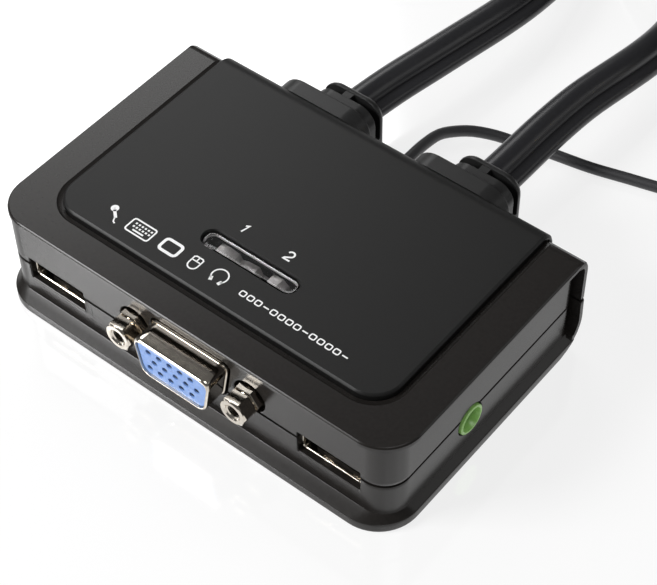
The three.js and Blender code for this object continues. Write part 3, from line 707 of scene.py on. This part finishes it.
def wall_cutters():
    """Every hole through the walls, for either half."""
    tools = [flared_y(lambda g: d_outline(VGA["x"], VGA["z"], 8.9 + g, 4.75 + g, 2.2), 3)]
    for sign in (-1, 1):
        screw = VGA["x"] + sign * VGA["screw"]
        usb = sign * USB["x"]
        tools.append(flared_y(lambda g: circle(screw, VGA["z"], 3.2 + g, 36), 3))
        tools.append(flared_y(lambda g: centred(usb, USB["z"], 6.35 + g, 2.5 + g, 0.3, 3), 3))
        tools.append(loft("tool", [
            along_x(circle(AUDIO["y"], AUDIO["z"], AUDIO["radius"] + 0.15 + grow, 40), sign * x)
            for x, grow in [(39, 0), (41.6, 0), (42.1, 0), (42.25, 0.1), (42.35, 0.3), (43, 0.3)]
        ]))
        relief = sign * RELIEF_X
        tools.append(prism_y(rounded(relief - 6.3, 5.4, relief + 6.3, 16, 0.5, 3), 49, 55))
    tools.append(prism_y(circle(*LEAD_EXIT, 1.8, 24), 49, 55))
    return tools


def lens_outline(grow):
    """The pill shape of the window, seen from above."""
    half = LENS["half_length"] + grow
    width = LENS["half_width"] + grow
    x, y = LENS["x"], LENS["y"]
    return arc(x - half + width, y, width, 90, 270, 14) + arc(x + half - width, y, width, -90, 90, 14)


def case_halves():
    """The upper half with the dish round the panel, and the lower half with screw ways and feet."""
    upper = stack("case_upper", UPPER_STACK)
    cavity = prism_z(rounded(*CAVITY), 8, 19.1)

    def around_panel(grow):
        half, corner = PANEL["half"], PANEL["corner"]
        turn = PANEL["front"] + corner
        return [
            *arc(corner - half, turn, corner + grow, 180, 270, 12),
            *arc(half - corner, turn, corner + grow, 270, 360, 12),
            (half + grow, 60),
            (-half - grow, 60),
        ]

    dish = [(20.4, 0.15), (20.98, 0.16), (21.08, 0.85), (21.22, 1.12), (21.32, 1.3), (23, 1.3)]
    recess = loft_z("tool", around_panel, dish)
    well = prism_z(lens_outline(-0.25), 15, 22)
    carve(upper, [cavity, recess, well, *pockets(), *wall_cutters()])
    settle(upper, "case", "upper_housing", angle=28)

    lower = stack("case_lower", LOWER_STACK)
    cavity = prism_z(rounded(*CAVITY), 2.0, 13)
    seam = box(-21.86, -0.5, 3.6, -21.74, 0.03, 11)
    way = [(2.9, -1), (2.9, 2.4), (1.4, 2.5), (1.4, 6)]
    ways = [turned_z(s * BOTTOM_SCREW["x"], BOTTOM_SCREW["y"], way, 24) for s in (-1, 1)]
    rows = (FOOT["front"], FOOT["rear"])
    feet = [turned_z(s * FOOT["x"], y, [(4.3, -1), (4.3, 1.3)], 32) for s in (-1, 1) for y in rows]
    carve(lower, [cavity, seam, *ways, *feet, *pockets(), *wall_cutters()])
    settle(lower, "case", "lower_housing", angle=28)


case_halves()

# --- Top panel ---


def on_panel(x, s, h):
    """A point at x, s along the panel's line from front to hanging end, and h above its skin."""
    roll = PANEL["roll"]
    bend = TOP_ROLL["y"]
    if s <= bend:
        return (x, s, PANEL_TOP + h)
    angle = (s - bend) / roll
    if angle <= math.pi / 2:
        reach = roll + h
        return (x, bend + reach * math.sin(angle), TOP_ROLL["z"] + reach * math.cos(angle))
    return (x, bend + roll + h, TOP_ROLL["z"] - (s - bend - roll * math.pi / 2))


def top_panel():
    """The matte skin that covers the top, rolls over the rear edge and hangs down behind."""
    half, front, corner = PANEL["half"], PANEL["front"], PANEL["corner"]
    bend = TOP_ROLL["y"]
    arc_end = bend + PANEL["roll"] * math.pi / 2
    end = arc_end + TOP_ROLL["z"] - PANEL["skirt_low"]
    rows = [end, (end + arc_end) / 2]
    rows += [bend + (arc_end - bend) * i / 12 for i in range(12, -1, -1)]
    rows += [bend - 1, 45, 35, 25, front + corner + 1]

    # Inset and height of the edge, from the underside (no height: the skin's own thickness) to the top.
    levels = [(0.0, None), (0.0, -0.42), (0.04, -0.34), (0.3, -0.07), (0.36, -0.02), (0.45, 0.0)]
    rings = []
    for inset, height in levels:
        ring = []
        left = [(-half + inset, s - (inset if s == end else 0)) for s in rows]
        right = [(half - inset, s) for _, s in reversed(left)]
        points = (
            left
            + arc(-half + corner, front + corner, corner - inset, 180, 270, 14)
            + arc(half - corner, front + corner, corner - inset, 270, 360, 14)
            + right
        )
        for x, s in points:
            # The skin is 1.6 mm thick on top and thins to 0.7 mm before it rolls over.
            thickness = 1.6 - 0.9 * ease((s - bend + 1) / 2)
            ring.append(on_panel(x, s, -thickness if height is None else height))
        rings.append(ring)
    # The two ends are closed with strips across, as they bend with the rows.
    verts, faces = skin(rings)
    faces = faces[:-2]
    count = len(rings[0])
    last = len(rows) - 1
    for start, flip in ((0, True), ((len(rings) - 1) * count, False)):
        stop = start + count - 1
        caps = [(start + i, start + i + 1, stop - 1 - i, stop - i) for i in range(last)]
        caps.append(tuple(range(start + last, stop - last + 1)))
        faces += [tuple(reversed(cap)) if flip else cap for cap in caps]
    panel = mesh_object("top_skin", verts, faces)
    outwards(panel)
    lens_hole = loft_z("tool", lens_outline, [(18, 0.32), (22.05, 0.32), (22.31, 0.5), (24, 0.5)])
    middles = (-RELIEF_X, RELIEF_X)
    hoods = [prism_y(rounded(x - 10.2, 0.9, x + 10.2, 21.1, 4.5), 52.95, 60) for x in middles]
    carve(panel, [lens_hole, *hoods])
    settle(panel, "panel", "top_panel", angle=26)


top_panel()

lens = loft_z("led_window", lens_outline, [(20.8, 0.1), (21.6, 0.1), (21.87, -0.06), (22.0, -0.4)])
settle(lens, "lens", "led_lens")

# Faceted bar under the window that spreads the light of the two port lights.
facets = [
    (-9.2, 18.4), (-7.9, 18.2), (-7.0, 20.3), (-5.2, 20.5), (-3.1, 20.2), (-2.6, 19.2), (-1.2, 19.7),
    (1.1, 19.9), (1.8, 18.6), (3.3, 18.5), (4.1, 20.3), (6.2, 20.5), (7.3, 19.6), (8.0, 18.3), (9.2, 18.2),
    (9.2, 17.6), (-9.2, 17.6),
]
outline = [(x + LENS["x"], z) for x, z in facets]
guide = prism_y(outline, LENS["y"] - 1.2, LENS["y"] + 1.2, "light_spreader")
settle(guide, "guide", bevel=0.12, angle=15)

# Near-black cup that stands round the bar: painted shade for the well under the window.
cup = loft_z("light_cup", lens_outline, [(17.4, -0.27), (20.7, -0.27), (20.7, -0.5), (18.0, -0.5)])
settle(cup, "hole")

# Pale ring under the edge of the window, seen through its clear top: a painted highlight of the window's
# rim.
rim = prism_z(lens_outline(0.06), 20.7, 20.79, "painted_highlight_rim")
carve(rim, [prism_z(lens_outline(-0.26), 20, 22)])
settle(rim, "rim")

for number, x in ((1, -5), (2, 5)):
    y = LENS["y"]
    dome = [(0, 14), (1.9, 14), (1.9, 14.9), (1.5, 15.0), *arc(0, 18.6, 1.5, 0, 90, 6)]
    light = turned_z(x, y, dome, 28)
    legs = [box(x + u - 0.25, y - 0.25, 6.1, x + u + 0.25, y + 0.25, 14.2) for u in (-1.2, 1.2)]
    light = join(f"port_light_{number}", [light, *legs])
    settle(light, "led", f"led_port_{number}")

# --- Print on the panel ---


def ribbon(points, width, closed=False):
    """A flat stroke of ink along a line, a little above the panel."""
    points = [Vector(p) for p in points]
    count = len(points)
    verts = []
    for i, point in enumerate(points):
        before = points[i - 1] if closed or i > 0 else point
        after = points[(i + 1) % count] if closed or i < count - 1 else point
        first = (point - before).normalized() if (point - before).length else None
        second = (after - point).normalized() if (after - point).length else None
        direction = ((first or second) + (second or first)).normalized()
        normal = Vector((-direction.y, direction.x))
        stretch = 1 / max(0.5, direction.dot(first or second))
        for side in (-1, 1):
            place = point + normal * side * width / 2 * stretch
            verts.append((place.x, place.y))
    faces = [(2 * i, 2 * i + 1, 2 * i + 3, 2 * i + 2) for i in range(count - 1)]
    if closed:
        faces.append((2 * count - 2, 2 * count - 1, 1, 0))
    return verts, faces


def ink():
    """Numerals and pictograms of what plugs in below each of them."""
    low, high = PANEL_TOP - 0.005, PANEL_TOP + 0.03
    strokes = []

    def draw(points, width, closed=False):
        flat, quads = ribbon(points, width, closed)
        count = len(flat)
        verts = [(x, y, low) for x, y in flat] + [(x, y, high) for x, y in flat]
        faces = [tuple(reversed(q)) for q in quads] + [tuple(i + count for i in q) for q in quads]
        for i in range(0, count - 2, 2):
            faces.append((i, i + 2, i + 2 + count, i + count))
            faces.append((i + 1, i + 1 + count, i + 3 + count, i + 3))
        strokes.append(mesh_object("stroke", verts, faces))

    def slanted(x, y, points, lean=0.25):
        return [(x + u + lean * v, y + v) for u, v in points]

    draw(slanted(-5.0, 20.6, [(-0.6, 1.45), (-0.1, 1.8), (-0.1, 0)]), 0.3)
    two = arc(0, 1.45, 0.62, 165, -35, 8) + [(-0.55, 0.4), (-0.62, 0.16), (0.74, 0.16)]
    draw(slanted(4.75, 20.3, two, lean=0.05), 0.32)

    # Microphone: a capsule on a slanted handle.
    draw(arc(-25.3, 11.5, 0.42, 0, 360, 16)[:-1], 0.62, closed=True)
    draw([(-25.1, 11.2), (-23.7, 9.9)], 0.55)
    draw([(-23.9, 9.9), (-23.5, 9.1), (-23.0, 8.9)], 0.26)
    # Keyboard: a frame with rows of keys and a space bar.
    draw(rounded(-21.0, 9.1, -16.0, 12.0, 0.4, 2), 0.3, closed=True)
    for row in range(2):
        for key in range(6):
            x = -20.2 + key * 0.68
            draw([(x, 11.2 - 0.75 * row), (x + 0.38, 11.2 - 0.75 * row)], 0.36)
    draw([(-19.7, 9.75), (-17.3, 9.75)], 0.32)
    # Monitor: a thick rounded frame.
    draw(rounded(-13.7, 9.4, -10.1, 12.0, 0.6, 3), 0.55, closed=True)
    # Mouse: a rounded body with two buttons.
    mouse = arc(-6.55, 10.15, 0.95, 180, 360, 8)
    mouse += [(-5.6, 11.7), (-5.9, 11.95), (-7.2, 11.95), (-7.5, 11.7)]
    draw(mouse, 0.26, closed=True)
    draw([(-7.5, 11.0), (-5.6, 11.0)], 0.24)
    draw([(-6.55, 11.0), (-6.55, 11.9)], 0.24)
    # Headphones: a band with two ear pads.
    draw(arc(-1.4, 10.95, 1.5, -50, 230, 20), 0.26)
    draw([(-2.5, 10.2), (-2.2, 9.35)], 0.6)
    draw([(-0.3, 10.2), (-0.6, 9.35)], 0.6)
    # Row of plain link marks where the case has a line of lettering.
    for i in range(14):
        x = 3.5 + i * 1.62
        if i % 5 == 3:
            draw([(x, 10.45), (x + 1.1, 10.45)], 0.26)
        else:
            draw(rounded(x, 9.95, x + 1.05, 10.95, 0.25, 2), 0.24, closed=True)

    settle(join("panel_print", strokes), "print", angle=20)


ink()

# --- Strain reliefs ---

for side, sign in SIDES.items():
    x = sign * RELIEF_X
    hood = (x - 10, 1.2, x + 10, 21.4, 4.7)
    sleeve = (x - 3.7, 3.5, x + 9.2, 20.5, 3.6)
    hood_rings = [(52.6, 0), (55.8, 0), (56.05, 0.07), (56.2, 0.25), (56.25, 0.5)]
    front_rings = [(55.5, 0), (58.2, 0), (58.36, 0.06), (58.4, 0.2)]
    rear_rings = [
        (59.7, 0.15), (59.76, 0.05), (59.9, 0), (60.2, 0), (60.6, 0.12), (61.0, 0.4), (61.3, 0.8),
        (61.5, 1.3),
    ]
    web = [(x + 1.4, 3.55), (x + 3.2, 3.55), (x + 3.2, 20.35), (x + 1.4, 20.35)]
    left, right = sleeve[0] + 0.05, sleeve[2] - 0.05
    relief = join(f"cable_relief_{side}", [
        loft_y("hood", lambda inset: inset_rect(*hood, inset), hood_rings),
        loft_y("ring", lambda inset: inset_rect(*sleeve, inset), front_rings),
        prism_y(inset_rect(*sleeve, 2.4), 58, 60),
        loft_y("ring", lambda inset: inset_rect(*sleeve, inset), rear_rings),
        prism_y(web, 58.3, 59.8),
        prism_y([(left, 11.2), (right, 11.2), (right, 12.9), (left, 12.9)], 58.3, 59.8),
        prism_y(rounded(x - 6, 5.7, x + 6, 15.7, 1.5, 4), 47.2, 53),
    ])
    settle(relief, "rubber", f"strain_relief_{side}", angle=35)

profile = [
    (2.6, 47.4), (2.6, 49.3), (1.5, 49.35), (1.5, 53.0), (2.3, 53.05), (2.3, 53.8), (2.15, 54.4),
    (1.7, 54.65), (1.15, 54.7),
]
grommet = turned_y(*LEAD_EXIT, profile, name="lead_grommet")
settle(grommet, "rubber", "remote_grommet")

# --- Sockets and jacks ---


def vga_contacts():
    """Places of the fifteen contacts: three rows of five, the middle one staggered."""
    rows = ((1.98, -0.57), (0, 0.57), (-1.98, -0.57))
    return [(shift + (i - 2) * VGA["pitch"], row) for row, shift in rows for i in range(5)]


def screw_ways(x, z, radius, front, rear, sides=20):
    """Holes for the two screws beside a VGA connector."""
    return [prism_y(circle(x + s * VGA["screw"], z, radius, sides), front, rear) for s in (-1, 1)]


def vga_socket():
    """The shell with its flange, the blue face with fifteen holes, painted shade in them, and the block
    behind it.
    """
    x, z = VGA["x"], VGA["z"]
    wall = [
        (3.2, 0.12), (-3.6, 0.02), (-4.2, 0), (-4.45, 0.02), (-4.66, 0.1), (-4.81, 0.23),
        (-4.87, 0.38), (-4.84, 0.48), (-4.7, 0.52), (-4.2, 0.54), (3.2, 0.58),
    ]
    shell = loft_y("shell", lambda i: d_outline(x, z, 8.4 - i, 4.25 - i, 2.0 - i / 2), wall, closed=True)
    root = [(-0.35, 0.1), (-0.25, -0.15), (0.0, -0.22), (2.4, -0.22)]
    collar = loft_y("collar", lambda i: d_outline(x, z, 8.4 - i, 4.25 - i, 2.1), root)
    carve(collar, [prism_y(d_outline(x, z, 8.2, 4.05, 1.9), -2, 4)])
    flange = box(x - 15.4, 2.5, z - 5.4, x + 15.4, 3.3, z + 5.4)
    carve(flange, [prism_y(d_outline(x, z, 8.1, 3.95, 1.8), 2, 4), *screw_ways(x, z, 1.7, 2, 4)])
    socket = join("vga_shell", [shell, collar, flange])
    settle(socket, "nickel", "vga_socket_shell", angle=40)

    front = [(3.8, 0), (-4.2, 0), (-4.4, 0.06), (-4.5, 0.25)]
    face = loft_y("face", lambda i: d_outline(x, z, 7.88 - i, 3.73 - i, 1.75), front)
    mouth = [(0.72, -5), (0.62, -4.48), (0.52, -4.3), (0.52, -0.5)]
    # Near-black plugs just behind the mouths of the holes: painted shade in their depth.
    socket = [(0.51, -4.22), (0.51, -1), (0.1, -0.9)]
    mouths = [turned_y(x + u, z + v, mouth, 14) for u, v in vga_contacts()]
    sockets = [turned_y(x + u, z + v, socket, 14) for u, v in vga_contacts()]
    carve(face, [join("mouths", mouths)])
    settle(join("vga_pin_hole_shade", sockets), "hole", slot="vga_blue")
    block = box(x - 15.4, 3.6, BOARD_TOP, x + 15.4, 12, 18.6)
    carve(block, screw_ways(x, z, 1.7, 3, 9))
    insulator = join("vga_insulator", [face, block])
    settle(insulator, "blue", "vga_socket_insulator", angle=35)


def jackscrew(side, sign):
    """A hexagonal standoff with a threaded bore and a groove between its two heads."""
    x, z = VGA["x"] + sign * VGA["screw"], VGA["z"]

    def rings(outline, pairs):
        return [along_y(outline(size), y) for size, y in pairs]

    def ring(radius):
        return circle(x, z, radius, 36)

    def flats(across):
        return hexagon(x, z, across)

    points = rings(ring, [(1.4, 8.0), (1.4, 2.3)])
    points += rings(flats, [(4.9, 2.2), (5.1, 2.0), (5.1, -1.05), (4.95, -1.2)])
    points += rings(ring, [(2.1, -1.17), (2.1, -1.43)])
    points += rings(flats, [(4.8, -1.45), (5.0, -1.6), (5.0, -3.98)])
    points += rings(ring, [(2.5, -4.22), (2.38, -4.3), (1.75, -4.3), (1.55, -4.1)])
    for i in range(9):
        y = -4.0 + i * 0.32
        points += rings(ring, [(1.5, y), (1.25, y + 0.16)])
    points += rings(ring, [(0.3, -1.5)])
    screw = loft(f"jackscrew_{side}", points)
    settle(screw, "nickel", f"vga_jackscrew_{side}", angle=12)


def usb_socket(side, sign):
    """A darkened can (painted shade inside the socket), a bright lip, four springs and the tongue with its
    contacts.
    """
    x, z = sign * USB["x"], USB["z"]
    wall = [(16.8, 0), (2.6, 0), (2.5, 0.06), (2.5, 0.24), (2.6, 0.3), (16.8, 0.3)]
    shell = loft_y("shell", lambda i: centred(x, z, 6.55 - i, 2.85 - i, 0.9 - i, 5), wall, closed=True)
    back = box(x - 6.3, 16.4, z - 2.6, x + 6.3, 16.8, z + 2.6)
    can = join(f"usb_can_{side}", [shell, back])
    settle(can, "can", f"usb_shell_{side}", angle=30)

    lip = [(2.9, 0), (1.35, 0), (1.24, 0.04), (1.22, 0.1), (1.27, 0.18), (1.4, 0.28), (1.6, 0.32)]
    lip += [(2.9, 0.3)]
    springs = [loft_y("lip", lambda i: centred(x, z, 6.28 - i, 2.44 - i, 0.8 - i, 5), lip, closed=True)]
    for s in (-1, 1):
        for level, tip in ((z - 2.5, 0.75), (z + 2.5, -0.75)):
            profile = [
                (2.6, level), (3.1, level + tip * 0.5), (3.8, level + tip), (9.5, level + tip * 0.7),
                (10.4, level),
            ]
            springs.append(prism_x(profile, x + s * 3.1 - 0.9, x + s * 3.1 + 0.9))
    settle(join(f"usb_lip_{side}", springs), "nickel", angle=30)

    rings = [(14.5, 0), (4.1, 0), (3.8, 0.3)]
    tongue = loft_y("tongue", lambda i: centred(x, z + 1.2, 5.6 - i, 0.9 - i / 2, 0.3, 3), rings)
    base = box(x - 5.9, 14.2, z - 2.2, x + 5.9, 16.3, z + 2.2)
    blade = join(f"usb_blade_{side}", [tongue, base])
    settle(blade, "chip", f"usb_tongue_{side}", angle=30)
    spring = [(4.4, z + 0.32), (5.2, z + 0.12), (12.8, z + 0.02), (12.8, z + 0.34)]
    contacts = [prism_x(spring, x + p - 0.5, x + p + 0.5) for p in USB["contacts"]]
    settle(join(f"usb_contacts_{side}", contacts), "gold", angle=20)


def audio_jack(side, sign, look, node):
    """A coloured ring round a bore, on a block that stands on the board."""
    y, z, radius = AUDIO["y"], AUDIO["z"], AUDIO["radius"]
    tip = AUDIO["tip"]
    bore = AUDIO["bore"]
    profile = [
        (2.6, 30), (radius - 0.05, 39.6), (radius - 0.05, tip - 0.35), (radius - 0.12, tip - 0.12),
        (radius - 0.35, tip), (2.55, tip), (2.4, tip - 0.08), (2.3, tip - 0.3), (2.1, tip - 1.4),
        (bore, tip - 2.4), (bore, 30),
    ]
    ring = loft("ring", [along_x(circle(y, z, r, 40), sign * x) for r, x in profile], closed=True)
    block = box(28.5, y - 3.3, BOARD_TOP, 39.8, y + 3.3, 12.6)
    if sign < 0:
        block.data.transform(Matrix.Scale(-1, 4, (1, 0, 0)))
        outwards(block)
    carve(block, [loft("tool", [along_x(circle(y, z, 2.0, 24), sign * x) for x in (29.5, 45)])])
    settle(join(f"audio_jack_{side}", [ring, block]), look, node, angle=35)
    sleeve = [(1.78, 31), (1.78, 40.6), (1.72, 40.9), (1.6, 40.9), (1.55, 40.6), (1.55, 31)]
    rings = [along_x(circle(y, z, r, 28), sign * x) for r, x in sleeve]
    barrel = loft(f"audio_contact_{side}", rings, closed=True)
    settle(barrel, "steel", angle=35)


vga_socket()
for side, sign in SIDES.items():
    jackscrew(side, sign)
    usb_socket(side, sign)
audio_jack("right", 1, "lime", "headphone_jack")
audio_jack("left", -1, "pink", "microphone_jack")

# --- Inside and underneath ---

for node, look in (
    ("main_board", "board"),
    ("switch_chip", "chip"),
    ("crystal", "steel"),
    ("capacitor", "chip"),
    ("cable_header_left", "header"),
    ("cable_header_right", "header"),
    ("remote_switch", "chip"),
):
    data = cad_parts[node].data
    data.materials.clear()
    data.materials.append(LOOKS[look])

for side, sign in SIDES.items():
    x, y = sign * BOTTOM_SCREW["x"], BOTTOM_SCREW["y"]
    head = [(0.6, 0.85), (1.6, 0.9), (2.2, 1.05), (2.55, 1.35), (2.55, 2.0)]
    head += [(1.0, 2.05), (1.0, 11), (0.3, 12)]
    screw = turned_z(x, y, head, 28, f"bottom_screw_{side}")
    carve(screw, [box(x - a, y - b, 0, x + a, y + b, 1.5) for a, b in ((1.4, 0.28), (0.28, 1.4))])
    settle(screw, "steel", f"case_screw_{side}")

feet = [(s * FOOT["x"], y) for y in (FOOT["front"], FOOT["rear"]) for s in (-1, 1)]
for number, (x, y) in enumerate(feet, 1):
    profile = [(3.2, 0), (3.7, 0.06), (3.95, 0.25), (4.0, 0.5), (4.0, 1.0)]
    pad = turned_z(x, y, profile, 36, f"rubber_foot_{number}")
    settle(pad, "rubber", f"foot_{number}")

# --- Plugs ---


def knurled(radius, depth, sides=48):
    """A circle on which every second pair of points lies deeper."""
    points = []
    for i in range(sides):
        angle = 2 * math.pi * i / sides
        reach = radius - depth * (i % 4 > 1)
        points.append((reach * math.cos(angle), reach * math.sin(angle)))
    return points


def vga_plug(side):
    """A moulded plug with ribs, its D shell, fifteen pins and two knurled thumbscrews."""
    pose = VGA_PLUGS[side]
    rings = [(-7.0, 0.6), (-6.8, 0.2), (-6.4, 0), (-0.6, 0), (-0.2, 0.2), (0, 0.6)]
    ears = loft_y("ears", lambda i: inset_rect(-17.2, -6.8, 17.2, 6.8, 3.0, i), rings)
    carve(ears, screw_ways(0, 0, 1.8, -8, 1, 24))
    ribs = [(-30, 1.6), (-29.6, 0.9), (-28.6, 0.3), (-27, 0)]
    for y in (-22, -17, -12):
        ribs += [(y, 0), (y + 1, 0.5), (y + 2, 0.5), (y + 3, 0)]
    ribs += [(-1, 0)]
    body = loft_y("body", lambda i: inset_rect(-8.6, -7.3, 8.6, 7.3, 4.0, i), ribs)
    boot = [(4.45, -46)]
    for i in range(5):
        y = -45.6 + i * 3.2
        grow = 4.6 + i * 0.18
        boot += [(grow, y), (grow, y + 1.9), (grow - 0.7, y + 2.15), (grow - 0.7, y + 3.0)]
    boot += [(5.4, -29.4), (5.4, -28)]
    neck = turned_y(-2.2, 0, boot, 32)
    hood = join(f"plug_mould_{side}", [ears, body, neck])
    settle(hood, "plug", f"vga_plug_hood_{side}", angle=35, **pose)

    rings = [(0.1, 0), (0.95, 0), (1.1, 0.15)]
    flange = loft_y("flange", lambda i: inset_rect(-15.2, -6, 15.2, 6, 2.0, i), rings)
    carve(flange, screw_ways(0, 0, 1.8, -1, 3, 24))
    wall = [(1.0, 0), (5.9, 0), (6.15, 0.06), (6.3, 0.2), (6.3, 0.3), (6.1, 0.42), (5.8, 0.45), (1.6, 0.45)]
    mouth = loft_y("mouth", lambda i: d_outline(0, 0, 8.8 - i, 4.6 - i, 2.0 - i / 2), wall, closed=True)
    shell = join(f"plug_shell_{side}", [flange, mouth])
    settle(shell, "nickel", f"vga_plug_shell_{side}", angle=35, **pose)
    pin = [(0.38, 0.9), (0.38, 4.9), (0.25, 5.25), (0.08, 5.4)]
    pins = [turned_y(x, z, pin, 10) for x, z in vga_contacts()]
    settle(join(f"plug_pins_{side}", pins), "gold", **pose)

    for where, sign in (("outer", -1), ("inner", 1)):
        profile = [
            (2.5, -24), (2.9, -23.8), (3.2, -23.3), (3.28, -22.6), (3.28, -9.4), (3.2, -8.6), (2.9, -8),
            (2.3, -7.6),
        ]
        knob = [along_y(knurled(radius, 0.16 if -23 < y < -9 else 0.02), y) for radius, y in profile]
        shaft = [(1.4, -8), (1.4, 0.5)]
        for i in range(12):
            shaft += [(1.4, 0.7 + i * 0.38), (1.22, 0.89 + i * 0.38)]
        shaft += [(0.8, 5.6)]
        name = f"thumbscrew_{side}_{where}"
        screw = join(f"{name}_knob", [loft("knob", knob), turned_y(0, 0, shaft, 24)])
        offset = Matrix.Rotation(pose["turn"], 4, "Z") @ Vector((sign * VGA["screw"], 0, 0))
        place = tuple(a + b for a, b in zip(pose["place"], offset))
        settle(screw, "plug", name, body=f"{name}_body", place=place, turn=pose["turn"], angle=28)


def usb_plug(side):
    """A ribbed grip, a sheath with two windows and a core with four contacts."""
    pose = USB_PLUGS[side]
    ribs = [(-26, 1.4), (-25.7, 0.8), (-25, 0.3), (-24, 0.05)]
    for y in (-20, -16.4, -12.8):
        ribs += [(y, 0), (y + 0.6, 0.45), (y + 1.4, 0.45), (y + 2, 0)]
    ribs += [(-0.8, 0), (-0.2, 0.2), (0, 0.6)]
    grip = loft_y(f"usb_mould_{side}", lambda i: inset_rect(-8, -4.1, 8, 4.1, 2.0, i), ribs)
    settle(grip, "plug", f"usb_plug_grip_{side}", angle=35, **pose)
    wall = [(-0.2, 0), (11.8, 0), (11.95, 0.05), (12, 0.15), (11.95, 0.25), (11.8, 0.3), (0.5, 0.3)]
    name = f"usb_sheath_{side}"
    shell = loft_y(name, lambda i: centred(0, 0, 6 - i, 2.25 - i, 0.5 - i, 4), wall, closed=True)
    carve(shell, [box(x - 1.25, 5.2, -3, x + 1.25, 7.2, 3) for x in (-2.6, 2.6)])
    settle(shell, "nickel", f"usb_plug_shell_{side}", angle=30, **pose)
    core = box(-5.6, 0.3, -1.9, 5.6, 11.4, -0.15)
    ribs = [box(p - 0.6, 0.5, -0.2, p + 0.6, 10.8, -0.05) for p in USB["contacts"]]
    settle(join(f"usb_core_{side}", [core, *ribs]), "chip", bevel=0.08, **pose)


for side in SIDES:
    vga_plug(side)
    usb_plug(side)

# --- Remote button ---

REMOTE = (74, 114.5, 0)


def remote():
    """A tray and a lid with a round opening, through which the push button comes."""

    def wall(inset):
        return inset_rect(-14, -12, 14, 12, 4.0, inset)

    inside = centred(0, 0, 12.4, 10.4, 2.6, 6)
    base = loft_z("remote_tray", wall, [(0, 0.6), (0.15, 0.2), (0.5, 0), (4.8, 0), (5.0, 0.12)])
    carve(base, [prism_z(inside, 1.6, 8)])
    settle(base, "panel", "remote_base", place=REMOTE, angle=30)
    rings = [(5.3, 0.12), (5.5, 0), (9.8, 0), (10.8, 0.25), (11.5, 0.8), (11.88, 1.5), (12, 2.3)]
    cap = loft_z("remote_lid", wall, rings)
    opening = turned_z(0, 0, [(6.8, 0), (6.8, 11.75), (7.2, 12.01), (7.2, 14)], 48)
    carve(cap, [prism_z(inside, 3, 10.2), opening])
    settle(cap, "panel", "remote_cap", place=REMOTE, angle=30)
    profile = [
        (1.2, 6.8), (1.2, 8.8), (7.6, 8.8), (7.6, 9.6), (6.5, 9.65), (6.5, 12.5), (6.35, 12.85),
        (6.0, 13.1), (5.4, 13.2), (4.6, 13.12), (3, 12.95), (1, 12.88),
    ]
    button = turned_z(0, 0, profile, 56, "remote_push")
    settle(button, "case", "remote_button", body="remote_button_body", place=REMOTE, angle=35)


remote()

# --- Each side's cable, path, tail and tail path, taken out again but not used ---

for side, sign in SIDES.items():
    cable, path, tail, tail_path = cords[side]

# --- Floor and light ---


def add_floor(half=3.0):
    corners = [(-half, -half, 0), (half, -half, 0), (half, half, 0), (-half, half, 0)]
    floor = mesh_object("floor", corners, [(0, 1, 2, 3)])
    floor.data.materials.append(LOOKS["floor"])


def add_light(name, place, target, size, energy):
    """A soft square light that shines from a place at a target, both in metres; energy in watts."""
    light = bpy.data.lights.new(name, "AREA")
    light.shape = "SQUARE"
    light.size = size
    light.energy = energy
    lamp = bpy.data.objects.new(name, light)
    bpy.context.scene.collection.objects.link(lamp)
    lamp.location = place
    lamp.rotation_euler = (Vector(place) - Vector(target)).to_track_quat("Z", "Y").to_euler()


add_floor()
# One wide lamp above, a small one for the front edges, one that the metal tops reflect, and a weak one
# for the right side.
add_light("overhead", (0.35, -0.1, 1.0), (0.0, 0.03, 0), 0.6, 3.0)
add_light("left_front", (-0.28, -0.36, 0.34), (-0.04, -0.03, 0), 0.2, 3.2)
add_light("left_rear", (-0.75, 0.62, 0.74), (0.0, 0.02, 0.01), 0.46, 2.4)
add_light("right_rear", (0.67, 0.45, 0.35), (0.0, 0.02, 0.01), 0.3, 0.3)

world = bpy.data.worlds.new("studio")
bpy.context.scene.world = world
world.use_nodes = True
background = world.node_tree.nodes["Background"]
background.inputs["Color"].default_value = (1, 1, 1, 1)
background.inputs["Strength"].default_value = 0.14
bpy.context.scene.view_settings.view_transform = "Standard"
